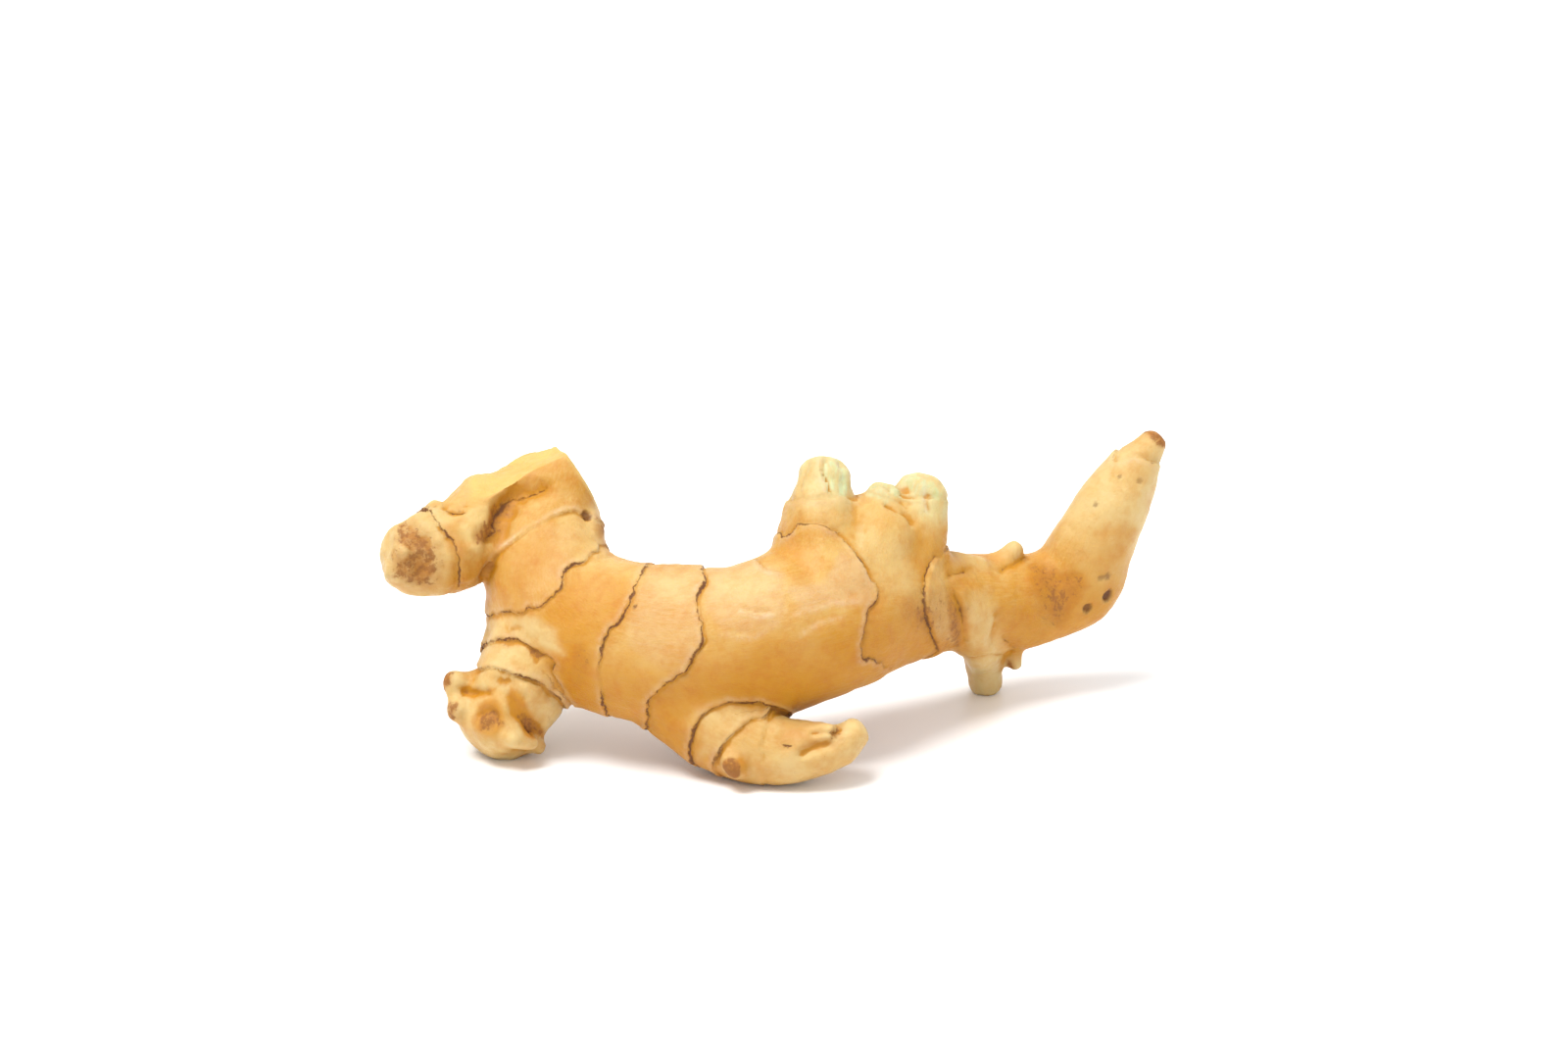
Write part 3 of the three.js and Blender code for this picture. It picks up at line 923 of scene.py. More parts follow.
@dataclass
class SeamPath:
    """A seam as points on the skin, with the direction past it at each."""

    seam: Seam
    points: np.ndarray
    past: np.ndarray
    strength: np.ndarray

    def near(self, points: np.ndarray) -> np.ndarray:
        """The indices of the places that the seam can reach."""
        low = self.points.min(axis=0) - SEAM_REACH
        high = self.points.max(axis=0) + SEAM_REACH
        return np.flatnonzero(((points > low) & (points < high)).all(axis=1))

    def apart(self, points: np.ndarray) -> tuple[np.ndarray, np.ndarray]:
        """Measures places against the seam.

        Args:
            points: The places, one row each.

        Returns:
            How far past the seam each place is, negative before it, and how strong the seam is there.
        """
        squares = (self.points**2).sum(axis=1) - 2.0 * points @ self.points.T
        index = squares.argmin(axis=1)
        away = points - self.points[index]
        side = np.sign((away * self.past[index]).sum(axis=1))
        return side * np.linalg.norm(away, axis=1), self.strength[index]


class MarkKind(Enum):
    """What a mark is, which is also the name of the attribute that it is kept in."""

    PIT = "pit"
    # Amber marks: a few real amber patches, most of them painted shade on the trunk, the knobbed finger and
    # the claw stub.
    AMBER_AND_PAINTED_SHADE = "amber_and_painted_shade"
    STAIN = "stain"
    PAPER = "paper"
    # Cream marks: the real pale nubs of the end scar, and painted light on the trunk, the peg, the collar
    # and the roots of the fingers.
    CREAM_AND_PAINTED_LIGHT = "cream"
    GREEN = "green"


@dataclass(frozen=True)
class Mark:
    """A mark on the skin: a round one at a pixel, or the area inside an outline of pixels."""

    name: str
    kind: MarkKind
    outline: tuple[Pixel, ...]
    radius: float = 1.5  # of a round one, or the width over which an area fades
    strength: float = 1.0
    depth: float = 0.0  # how far the skin is pressed in, negative where it stands out


# Marks named shade are painted shade, and marks named light are painted light.
MARKS = (
    Mark("large pit", MarkKind.PIT, ((1131, 608),), radius=1.5, strength=1.0, depth=0.9),
    Mark("lower pit", MarkKind.PIT, ((1110, 621),), radius=1.25, strength=0.8, depth=0.7),
    Mark("double speck right", MarkKind.PIT, ((1130, 588),), radius=0.9, strength=0.6, depth=0.2),
    Mark("double speck left", MarkKind.PIT, ((1124, 589),), radius=0.8, strength=0.5, depth=0.2),
    Mark("trunk speck", MarkKind.PIT, ((648, 619),), radius=0.55, strength=0.8, depth=0.25),
    Mark("upper tip speck", MarkKind.PIT, ((1142, 486),), radius=0.5, strength=0.5, depth=0.2),
    Mark("outer tip speck", MarkKind.PIT, ((1163, 491),), radius=0.7, strength=0.35, depth=0.2),
    Mark("long finger speck", MarkKind.PIT, ((1118, 515),), radius=0.6, strength=0.6, depth=0.15),
    Mark("break pit", MarkKind.PIT, ((599, 526),), radius=1.3, strength=0.8, depth=0.7),
    Mark("long finger stain", MarkKind.STAIN, ((1055, 581), (1065, 575), (1078, 590), (1103, 588),
         (1107, 598), (1097, 611), (1088, 626), (1084, 634), (1074, 626), (1061, 615), (1055, 598)),
         radius=5.5, strength=0.8),
    Mark("long finger bruise", MarkKind.AMBER_AND_PAINTED_SHADE, ((1050, 578), (1065, 572), (1080, 586), (1106, 585),
         (1112, 598), (1100, 615), (1092, 632), (1080, 640), (1066, 625), (1052, 605)), radius=3.0,
         strength=0.8),
    Mark("shoulder foot stain", MarkKind.STAIN, ((940, 600), (965, 604), (980, 660), (965, 668),
         (940, 650), (925, 625)), radius=6.0, strength=0.45),
    Mark("collar stain", MarkKind.STAIN, ((950, 620), (954, 640), (957, 660), (948, 655), (938, 640),
         (932, 625), (940, 616)), radius=3.4, strength=0.9),
    # Brown stain and painted shade in the hollow beside the peg fold.
    Mark("peg fold stain", MarkKind.STAIN, ((967, 608), (976, 625), (980, 645), (979, 664), (972, 660),
         (965, 635)), radius=2.8, strength=1.0),
    Mark("end scar", MarkKind.STAIN, ((408, 533), (424, 537), (437, 548), (445, 565), (446, 582),
         (438, 595), (424, 598), (410, 592), (402, 585), (406, 572), (418, 566), (406, 553)), radius=1.7,
         strength=1.0, depth=0.7),
    Mark("end scar ring", MarkKind.STAIN, ((399, 548), (412, 530), (434, 536), (449, 556), (452, 584),
         (440, 602), (412, 600), (396, 588)), radius=4.0, strength=0.5),
    Mark("end scar middle", MarkKind.STAIN, ((418, 572), (430, 562), (440, 572), (436, 588), (422, 590)),
         radius=2.0, strength=1.0, depth=0.8),
    Mark("end scar upper nub", MarkKind.CREAM_AND_PAINTED_LIGHT, ((411, 561),), radius=1.6, strength=1.0, depth=-0.9),
    Mark("end scar lower nub", MarkKind.CREAM_AND_PAINTED_LIGHT, ((396, 580),), radius=1.8, strength=1.0, depth=-0.7),
    Mark("knob band stain", MarkKind.STAIN, ((536, 658), (559, 667), (547, 678)), radius=0.8,
         strength=0.75, depth=0.3),
    Mark("knob hollow stain", MarkKind.STAIN, ((530, 727), (541, 732), (556, 745), (555, 752),
         (543, 746)), radius=1.2, strength=1.0, depth=0.6),
    Mark("knob disc stain", MarkKind.STAIN, ((497, 735),), radius=2.6, strength=1.0, depth=0.7),
    Mark("knob disc ring", MarkKind.AMBER_AND_PAINTED_SHADE, ((497, 735),), radius=4.6, strength=0.7),
    Mark("knob hollow shade", MarkKind.AMBER_AND_PAINTED_SHADE, ((520, 700), (534, 712), (545, 735), (556, 750),
         (545, 755), (528, 735), (514, 712)), radius=1.6, strength=0.9),
    Mark("knob upper shade", MarkKind.AMBER_AND_PAINTED_SHADE, ((466, 700), (480, 702), (496, 703), (508, 700), (500, 710),
         (478, 711)), radius=1.6, strength=0.8),
    Mark("claw stub shade", MarkKind.AMBER_AND_PAINTED_SHADE, ((750, 788), (745, 778), (756, 772), (766, 780), (762, 792)),
         radius=1.6, strength=0.8),
    # Brown stain and painted shade in the crevice between the blunt finger and the trunk.
    Mark("crevice stain", MarkKind.STAIN, ((487, 538), (503, 522), (520, 508), (528, 512), (512, 532),
         (511, 545), (499, 553), (487, 553)), radius=2.6, strength=1.0),
    Mark("claw tip stain", MarkKind.STAIN, ((845, 748), (852, 741), (859, 742), (859, 750), (850, 756)),
         radius=1.4, strength=1.0, depth=0.9),
    Mark("brown stub stain", MarkKind.STAIN, ((1024, 668), (1031, 672), (1036, 680), (1034, 690),
         (1028, 684)), radius=1.2, strength=0.9),
    Mark("waist stain", MarkKind.STAIN, ((593, 652), (604, 672), (598, 690), (588, 700), (584, 684)),
         radius=2.5, strength=0.35),
    Mark("middle paper", MarkKind.PAPER, ((720, 581), (772, 572), (800, 588), (803, 623), (791, 640),
         (763, 648), (734, 641), (719, 619)), radius=2.0, strength=0.7),
    Mark("shoulder paper", MarkKind.PAPER, ((803, 600), (840, 595), (859, 562), (876, 571), (892, 600),
         (890, 616), (852, 619), (819, 626)), radius=2.5, strength=0.8),
    Mark("band paper", MarkKind.PAPER, ((661, 576), (712, 584), (709, 616), (714, 655), (692, 686),
         (640, 660), (640, 625)), radius=4.0, strength=0.6),
    Mark("left trunk paper", MarkKind.PAPER, ((500, 585), (560, 535), (600, 540), (570, 590), (545, 615),
         (500, 620)), radius=4.0, strength=0.35),
    Mark("left trunk shade", MarkKind.AMBER_AND_PAINTED_SHADE, ((575, 598), (612, 582), (640, 592), (642, 622), (620, 652),
         (585, 650), (565, 625)), radius=6.0, strength=0.6),
    Mark("belly shade", MarkKind.AMBER_AND_PAINTED_SHADE, ((780, 655), (880, 640), (895, 690), (830, 725), (770, 705)),
         radius=8.0, strength=0.4),
    Mark("waist shade", MarkKind.AMBER_AND_PAINTED_SHADE, ((580, 655), (600, 655), (602, 700), (586, 716), (574, 690)),
         radius=4.0, strength=0.9),
    Mark("band foot shade", MarkKind.AMBER_AND_PAINTED_SHADE, ((672, 715), (700, 722), (702, 765), (672, 750)), radius=5.0,
         strength=0.5),
    Mark("claw root light", MarkKind.CREAM_AND_PAINTED_LIGHT, ((714, 726), (770, 723), (758, 737), (735, 765), (714, 772)),
         radius=3.0, strength=0.55),
    Mark("knob root light", MarkKind.CREAM_AND_PAINTED_LIGHT, ((503, 632), (545, 628), (566, 645), (576, 668), (546, 658),
         (520, 648), (500, 650)), radius=2.5, strength=0.8),
    Mark("blunt arm shade", MarkKind.AMBER_AND_PAINTED_SHADE, ((450, 535), (470, 530), (476, 560), (474, 600), (455, 606),
         (462, 570)), radius=3.0, strength=0.6),
    Mark("break side shade", MarkKind.AMBER_AND_PAINTED_SHADE, ((505, 565), (560, 540), (566, 565), (530, 610),
         (500, 615)), radius=6.0, strength=0.45),
    Mark("band light", MarkKind.CREAM_AND_PAINTED_LIGHT, ((666, 588), (712, 584), (708, 614), (668, 612)), radius=4.0,
         strength=0.5),
    Mark("middle light", MarkKind.CREAM_AND_PAINTED_LIGHT, ((724, 588), (770, 578), (796, 592), (770, 606), (728, 608)),
         radius=4.0, strength=0.6),
    Mark("shoulder light", MarkKind.CREAM_AND_PAINTED_LIGHT, ((880, 545), (930, 552), (935, 600), (905, 615), (892, 585)),
         radius=6.0, strength=0.4),
    Mark("peg light", MarkKind.CREAM_AND_PAINTED_LIGHT, ((988, 672), (1018, 670), (1020, 698), (1008, 709), (993, 704)),
         radius=1.6, strength=0.8),
    Mark("collar light", MarkKind.CREAM_AND_PAINTED_LIGHT, ((948, 575), (962, 572), (966, 610), (972, 655), (956, 650),
         (946, 610)), radius=2.0, strength=0.5),
    Mark("peg ridge light", MarkKind.CREAM_AND_PAINTED_LIGHT, ((985, 600), (1010, 596), (1020, 640), (1014, 664),
         (990, 662)), radius=3.0, strength=0.6),
    Mark("tall bud green", MarkKind.GREEN, ((838, 464), (850, 460), (862, 470), (867, 490), (866, 506),
         (847, 509), (843, 490)), radius=1.5, strength=1.0),
    Mark("wide bud green", MarkKind.GREEN, ((918, 486), (930, 477), (948, 484), (962, 500), (963, 512),
         (944, 508), (928, 500)), radius=1.5, strength=0.9),
    Mark("crown bud green", MarkKind.GREEN, ((878, 492), (893, 487), (915, 492), (925, 506), (905, 512),
         (886, 505)), radius=1.5, strength=0.8),
    Mark("tall bud foot light", MarkKind.CREAM_AND_PAINTED_LIGHT, ((871, 536), (881, 534), (884, 548), (880, 562),
         (874, 552)), radius=1.0, strength=0.9),
)


class Marker:
    """Grades the skin inside marks."""

    def __init__(self, points: np.ndarray, normals: np.ndarray, tree: BVHTree) -> None:
        """Keeps the skin that is marked.

        Args:
            points: The skin's points, in millimetres from the part's origin.
            normals: The direction that each faces.
            tree: The skin, for finding what a pixel shows.
        """
        self.points = points
        self.tree = tree
        self.pixels = VIEW.pixels(points)
        toward = VIEW.place - points
        toward /= np.linalg.norm(toward, axis=1, keepdims=True)
        self.faces_camera = smooth_step(*FACING, (normals * toward).sum(axis=1))

    def hit(self, pixel: Pixel) -> np.ndarray | None:
        """The place on the skin that a pixel shows, or None where it shows no skin."""
        place = self.tree.ray_cast(Vector(VIEW.place), Vector(VIEW.ray(pixel)))[0]
        return None if place is None else np.array(place)

    def grade(self, mark: Mark) -> np.ndarray:
        """How far inside a mark each point is.

        Args:
            mark: The mark.

        Returns:
            Grades from 0 outside to 1 inside.
        """
        if len(mark.outline) == 1:
            place = self.hit(mark.outline[0])
            if place is None:
                return np.zeros(len(self.points))
            uneven = noise(self.points, 0.6 * mark.radius + 0.4, ROUND_SEED)
            distance = np.linalg.norm(self.points - place, axis=1) / mark.radius
            return smooth_step(*ROUND_EDGE, distance + ROUND_RAGGED * uneven)
        inside, distance = self._to_outline(np.array(mark.outline, float))
        within = np.where(inside, distance, -distance) / VIEW.pixels_per_mm / mark.radius
        within += AREA_RAGGED * layered_noise(self.points, 2.0 * mark.radius, AREA_SEED)
        return smooth_step(-0.5, 0.5, within) * self.faces_camera

    def _to_outline(self, outline: np.ndarray) -> tuple[np.ndarray, np.ndarray]:
        """Whether each point's pixel is inside an outline, and how many pixels it is from it."""
        inside = np.zeros(len(self.pixels), bool)
        distance = np.full(len(self.pixels), np.inf)
        x, y = self.pixels.T
        for start, end in zip(outline, np.roll(outline, -1, axis=0)):
            side = end - start
            along = np.clip((self.pixels - start) @ side / (side @ side), 0.0, 1.0)
            away = self.pixels - start - along[:, None] * side
            distance = np.minimum(distance, np.hypot(away[:, 0], away[:, 1]))
            crosses = (start[1] > y) != (end[1] > y)
            rise = np.where(side[1] == 0.0, 1.0, side[1])
            inside ^= crosses & (x < start[0] + side[0] * (y - start[1]) / rise)
        return inside, distance


class Neighbours:
    """The two fingers that each point of the skin lies nearest to."""

    def __init__(self, points: np.ndarray) -> None:
        """Measures points against every finger.

        Args:
            points: The points, one row each.
        """
        measured = zip(*(finger.measure(points) for finger in FINGERS))
        self.along, self.aside, self.inward, gaps = (np.stack(values) for values in measured)
        self.order = np.argsort(gaps, axis=0)[:2]
        first, second = np.take_along_axis(gaps, self.order, axis=0)
        self.apart = second - first
        self.melt = np.array([finger.melt for finger in FINGERS])[self.order].min(axis=0)

    def blend(self, values: np.ndarray) -> np.ndarray:
        """Blends a value of the two nearest fingers, so that it doesn't jump where they meet.

        Args:
            values: The value of each finger, one row each.

        Returns:
            The blended value at each point.
        """
        every = np.broadcast_to(values, self.along.shape)
        nearest, next_one = np.take_along_axis(every, self.order, axis=0)
        lead = 0.5 + 0.5 * smooth_step(0.0, LEAD_REACH, self.apart)
        return nearest * lead + next_one * (1.0 - lead)

    def grain(self) -> np.ndarray:
        """Places for noise that is drawn out along the fingers, one row for each point."""
        owner = self.order[0]
        pick = (owner, np.arange(len(owner)))
        places = np.stack([self.aside[pick], self.inward[pick], self.along[pick] * ALONG_SHARE], axis=1)
        return places + owner[:, None] * FINGER_SHIFT


def of_fingers(name: str) -> np.ndarray:
    """A value of every finger, one row each."""
    return np.array([[getattr(finger, name)] for finger in FINGERS], float)


@dataclass
class Skin:
    """The root's whole skin: the fingers merged, softened, carved and marked."""

    name: str = "ginger_skin"
    voxel: float = 0.66  # how fine the merged skin is
    even_rounds: int = 4
    fillet_rounds: int = 120
    fillet_reach: float = 3.2  # how far from where two fingers meet the skin is softened
    trace_step: float = 2.0  # pixels between the points of a seam
    round_step: float = 0.6  # distance between the points of a seam round the back
    attributes: dict[str, np.ndarray] = field(default_factory=dict)

    def build(self) -> bpy.types.Object:
        """Makes the skin.

        Returns:
            The skin's object at the origin, in metres, with its attributes.
        """
        piece = self._merge()
        log.info("merged %d fingers: %d faces", len(FINGERS), len(piece.data.polygons))
        self._soften(piece)
        self._flatten(piece)
        self._carve(piece)
        self._relief(piece)
        self._settle(piece)
        self._keep_attributes(piece)
        return piece

    def _merge(self) -> bpy.types.Object:
        """Builds all the fingers, cuts the break and merges them into one closed skin."""
        pieces = [finger.build(SEED_STEP * i) for i, finger in enumerate(FINGERS)]
        self._part([piece for piece in pieces if piece.name in PARTED])
        bpy.ops.object.select_all(action="DESELECT")
        for piece in pieces:
            piece.select_set(True)
        bpy.context.view_layer.objects.active = pieces[0]
        bpy.ops.object.join()
        skin = pieces[0]
        skin.name = self.name
        skin.data.name = self.name
        remesh = skin.modifiers.new("merge", "REMESH")
        remesh.mode = "VOXEL"
        remesh.voxel_size = self.voxel
        bpy.ops.object.modifier_apply(modifier=remesh.name)
        return skin

    def _part(self, pieces: list[bpy.types.Object]) -> None:
        """Cuts the flat break where the hand was parted from its rhizome."""
        bpy.ops.mesh.primitive_cube_add(size=BREAK_SIDE)
        block = bpy.context.object
        points = read_points(block.data) + np.array([0.0, 0.0, BREAK_SIDE / 2])
        write_points(block.data, points @ break_turn().T + to_row(BREAK_POINT))
        for piece in pieces:
            bpy.context.view_layer.objects.active = piece
            cut = piece.modifiers.new("break", "BOOLEAN")
            cut.operation = "DIFFERENCE"
            cut.object = block
            cut.solver = "EXACT"
            bpy.ops.object.modifier_apply(modifier=cut.name)
        bpy.data.objects.remove(block)

    def _soften(self, piece: bpy.types.Object) -> None:
        """Smooths the skin, most of all where fingers meet, so that they run into each other."""
        near = Neighbours(read_points(piece.data))
        weights = near.melt * np.exp(-((near.apart / self.fillet_reach) ** 2))
        group = piece.vertex_groups.new(name="meeting")
        levels = np.round(weights * MELT_LEVELS).astype(int)
        for level in range(1, MELT_LEVELS + 1):
            group.add(np.flatnonzero(levels == level).tolist(), level / MELT_LEVELS, "REPLACE")
        bpy.context.view_layer.objects.active = piece
        passes = (("even", self.even_rounds, ""), ("fillet", self.fillet_rounds, group.name))
        for title, rounds, where in passes:
            smooth = piece.modifiers.new(title, "SMOOTH")
            smooth.factor = 0.5
            smooth.iterations = rounds
            smooth.vertex_group = where
            bpy.ops.object.modifier_apply(modifier=smooth.name)
        piece.vertex_groups.clear()

    def _flatten(self, piece: bpy.types.Object) -> None:
        """Presses the top of the parted end to a flat facet."""
        points = read_points(piece.data)
        tilt = math.radians(TOP_TURN)
        upward = np.array([math.sin(tilt), 0.0, math.cos(tilt)])
        height = (points - to_row(TOP_POINT)) @ upward
        start, full = TOP_REACH
        place = points[:, 0] + CENTRE[0]
        within = (place < TOP_POINT[0] + TOP_SPREAD) & (height > 0.0)
        pressed = np.where(within, height, 0.0) * smooth_step(start, full, place)
        write_points(piece.data, points - pressed[:, None] * upward)
        self.attributes["facet"] = smooth_step(*FACET_DEPTH, pressed)

    def _carve(self, piece: bpy.types.Object) -> None:
        """Raises and cuts the skin along its seams and marks, and keeps both as attributes."""
        points = read_points(piece.data)
        normals = read_normals(piece.data)
        faces = [tuple(face.vertices) for face in piece.data.polygons]
        tree = BVHTree.FromPolygons([tuple(point) for point in points], faces)
        marker = Marker(points, normals, tree)
        height = np.zeros(len(points))
        nearest = np.full(len(points), np.inf)
        offset = np.zeros(len(points))
        line = np.zeros(len(points))
        stain = np.zeros(len(points))
        light = np.zeros(len(points))
        patchy = 0.5 + PATCHINESS.at(points)
        flaky = FLAKY_RIMS.at(points)
        for number, seam in enumerate(SEAMS):
            path = self._path(seam, marker, number)
            if path is None:
                log.warning("seam %s shows nowhere", seam.name)
                continue
            near = path.near(points)
            apart, strength = path.apart(points[near])
            reach = np.abs(apart)
            ragged = 1.0 + flaky[near] * np.exp(-reach)
            height[near] += strength * ragged * CUT.rise(seam, apart)
            closer = reach < nearest[near]
            fade = smooth_step(*SEAM_FADE, reach) * strength
            nearest[near] = np.where(closer, reach, nearest[near])
            offset[near] = np.where(closer, np.clip(apart, -SEAM_FADE[0], SEAM_FADE[0]), offset[near])
            line[near] = np.where(closer, seam.dark * fade, line[near])
            broken = strength * patchy[near]
            stain[near] = np.maximum(stain[near], seam.halo * broken * np.exp(-reach / HALO_REACH))
            edge = EDGE_GAIN * broken * np.exp(-(((apart - EDGE_PLACE) / EDGE_REACH) ** 2))
            light[near] = np.maximum(light[near], seam.light * edge)
        grades = {kind: np.zeros(len(points)) for kind in MarkKind}
        for mark in MARKS:
            grade = marker.grade(mark)
            if not grade.any():
                log.warning("mark %s shows nowhere", mark.name)
            grades[mark.kind] = np.maximum(grades[mark.kind], mark.strength * grade)
            height -= mark.depth * grade
        grades[MarkKind.STAIN] = np.maximum(grades[MarkKind.STAIN], stain)
        write_points(piece.data, points + normals * height[:, None])
        self.attributes.update({"seam_offset": offset, "seam_line": line, "seam_light": light})
        self.attributes.update({kind.value: grade for kind, grade in grades.items()})

    def _path(self, seam: Seam, marker: Marker, number: int) -> SeamPath | None:
        """Lays a seam on the skin.

        Args:
            seam: The seam.
            marker: Finds what a pixel shows.
            number: Makes its raggedness differ from the others'.

        Returns:
            Its path, or None where none of it shows.
        """
        trace = np.array(seam.trace, float)
        along = np.concatenate([[0.0], np.cumsum(np.linalg.norm(np.diff(trace, axis=0), axis=1))])
        places = np.arange(0.0, along[-1], self.trace_step)
        pixels = np.stack([np.interp(places, along, axis) for axis in trace.T], axis=1)
        shown = [hit for hit in (marker.hit(tuple(pixel)) for pixel in pixels) if hit is not None]
        if len(shown) < 3:
            return None
        line = np.array(shown)
        if seam.around:
            line = np.vstack([line, self._behind(seam, line, marker)])
        line = self._evened(line, closed=bool(seam.around))
        normals = np.array([marker.tree.find_nearest(Vector(point))[1] for point in line])
        tangents = np.gradient(line, axis=0)
        past = np.cross(normals, tangents)
        past /= np.maximum(np.linalg.norm(past, axis=1, keepdims=True), 1e-9)
        past *= self._side(seam, line, past)
        shift = seam.jag * (JAGS.at(line, number) + FINE_JAGS.at(line, number))
        usual, least, most = SEAM_STRENGTH
        strength = np.clip(usual + FAINTNESS.at(line, number), least, most)
        if not seam.around:
            share = np.linspace(0.0, 1.0, len(line))
            strength *= smooth_step(0.0, SEAM_ENDS, share) * smooth_step(1.0, 1.0 - SEAM_ENDS, share)
        return SeamPath(seam, line + past * shift[:, None], past, strength)

    def _side(self, seam: Seam, line: np.ndarray, past: np.ndarray) -> float:
        """Says whether a seam's directions past it point along its finger, as 1, or back, as -1."""
        if not seam.around:
            return 1.0
        finger = next(finger for finger in FINGERS if finger.name == seam.around)
        ahead = finger.line.nearest(line + past) - finger.line.nearest(line - past)
        return 1.0 if ahead.mean() > 0 else -1.0

    def _behind(self, seam: Seam, line: np.ndarray, marker: Marker) -> np.ndarray:
        """Carries a seam on round the back of its finger, from its last point to its first."""
        finger = next(finger for finger in FINGERS if finger.name == seam.around)
        place, aside, inward, _ = finger.measure(line)
        turns = np.unwrap(np.arctan2(inward, aside))
        shown = turns[-1] - turns[0]
        rest = math.copysign(2 * math.pi, shown) - shown
        reach = abs(rest) * np.hypot(aside, inward).mean()
        share = np.linspace(0.0, 1.0, max(8, round(reach / self.round_step)))[1:-1]
        turn = turns[-1] + share * rest
        bow = np.sin(math.pi * share) * np.sin(3 * turn + place[0])
        places = place[-1] + share * (place[0] - place[-1]) + bow
        centres, across, deep, radii = finger.line.sections(places)
        around = centres + across * (radii * np.cos(turn))[:, None] + deep * (radii * np.sin(turn))[:, None]
        return np.array([marker.tree.find_nearest(Vector(point))[0] for point in around])

    def _evened(self, line: np.ndarray, closed: bool) -> np.ndarray:
        """Smooths a line on the skin and spaces its points evenly."""
        for _ in range(3):
            before = np.roll(line, 1, axis=0)
            after = np.roll(line, -1, axis=0)
            smoothed = 0.5 * line + 0.25 * (before + after)
            if not closed:
                smoothed[0], smoothed[-1] = line[0], line[-1]
            line = smoothed
        if closed:
            line = np.vstack([line, line[:1]])
        along = np.concatenate([[0.0], np.cumsum(np.linalg.norm(np.diff(line, axis=0), axis=1))])
        places = np.arange(0.0, along[-1], self.round_step / 2)
        return np.stack([np.interp(places, along, axis) for axis in line.T], axis=1)

    def _relief(self, piece: bpy.types.Object) -> None:
        """Gives the skin its dents, fibres and wrinkles, and keeps what the finish reads of the fingers."""
        points = read_points(piece.data)
        normals = read_normals(piece.data)
        near = Neighbours(points)
        grain = near.grain()
        paper = self.attributes[MarkKind.PAPER.value]
        height = SWELLINGS.at(points) + HUMPS.at(points) + BUMPS.at(points)
        height += RIBS.at(grain * np.array(RIB_SHAPE))
        height += near.blend(of_fingers("rough")) * KNOBBLES.at(points)
        height += FIBRES.at(grain) + WRINKLES.at(grain * np.array(WRINKLE_SHAPE))
        height += paper * np.maximum(FLAKES.at(points), 0.0)
        write_points(piece.data, points + normals * height[:, None])
        self.attributes["grain"] = grain
        self.attributes["standing"] = self._standing(piece)
        self.attributes["meeting"] = smooth_step(*MEETING_REACH, near.apart)
        sharp = np.clip(1.0 - near.melt / SHARP_MELT, 0.0, 1.0)
        # Painted shade along the creases where fingers meet sharply.
        self.attributes["crease"] = np.exp(-near.apart / PAINTED_CREASE_SHADE_REACH) * sharp
        self.attributes["flesh"] = np.maximum(self._on_break(points), self.attributes.pop("facet"))
        # Painted shade: the skin turns amber the further down it faces.
        self.attributes["painted_underside_shade"] = smooth_step(*PAINTED_UNDERSIDE_SHADE_LIMITS, normals[:, 2] + PAINTED_UNDERSIDE_SHADE_EDGE.at(points))
        self._age(near, points)

    def _age(self, near: Neighbours, points: np.ndarray) -> None:
        """Keeps how pale, green and brown the skin is, from how far along its fingers it lies."""
        lengths = np.array([[finger.line.length] for finger in FINGERS])
        tips = np.array([[finger.line.radii[-1]] for finger in FINGERS])
        limits = np.array([finger.pale for finger in FINGERS])
        shares = near.along / lengths
        pale = smooth_step(limits[:, :1], limits[:, 1:], shares + PALE_EDGE.at(points))
        self.attributes["pale"] = near.blend(pale)
        greenish = smooth_step(*GREEN_SHARES, shares + GREEN_EDGE.at(points))
        past = (near.along - lengths) / tips + BROWN_EDGE.at(points)
        brownish = smooth_step(*BROWN_SHARES, past)
        for kind, share in ((MarkKind.GREEN, of_fingers("green") * greenish),
                            (MarkKind.STAIN, of_fingers("brown_end") * brownish)):
            marked = self.attributes[kind.value]
            self.attributes[kind.value] = np.maximum(marked, near.blend(share))

    @staticmethod
    def _standing(piece: bpy.types.Object) -> np.ndarray:
        """How far each point stands out of its surroundings, negative where it lies in a hollow."""
        points = read_points(piece.data)
        normals = read_normals(piece.data)
        edges = np.empty(len(piece.data.edges) * 2, np.int32)
        piece.data.edges.foreach_get("vertices", edges)
        pairs = edges.reshape(-1, 2)
        ends = np.concatenate([pairs[:, 0], pairs[:, 1]])
        others = np.concatenate([pairs[:, 1], pairs[:, 0]])
        count = len(points)
        shares = np.bincount(ends, minlength=count)[:, None]
        level = points
        total = np.zeros(count)
        for number in range(1, STANDING_ROUNDS[-1] + 1):
            sums = [np.bincount(ends, axis[others], count) for axis in level.T]
            level = 0.5 * level + 0.5 * np.stack(sums, axis=1) / shares
            if number in STANDING_ROUNDS:
                total += ((points - level) * normals).sum(axis=1)
        return total

    @staticmethod
    def _on_break(points: np.ndarray) -> np.ndarray:
        """Grades how much each point lies on the face where the hand was parted."""
        outward = break_turn() @ np.array(UPWARD)
        away = points - to_row(BREAK_POINT)
        height = away @ outward
        sideways = np.linalg.norm(away - height[:, None] * outward, axis=1)
        return smooth_step(*BREAK_DEPTH, np.abs(height)) * smooth_step(*BREAK_REACH, sideways)

    def _settle(self, piece: bpy.types.Object) -> None:
        """Keeps the skin inside the part's box, lying on the floor, and brings it to metres."""
        points = read_points(piece.data)
        low = np.array(cad_box[0]) / METRES
        high = np.array(cad_box[1]) / METRES
        points = np.clip(points, low, high)
        write_points(piece.data, points * METRES)
        for face in piece.data.polygons:
            face.use_smooth = True

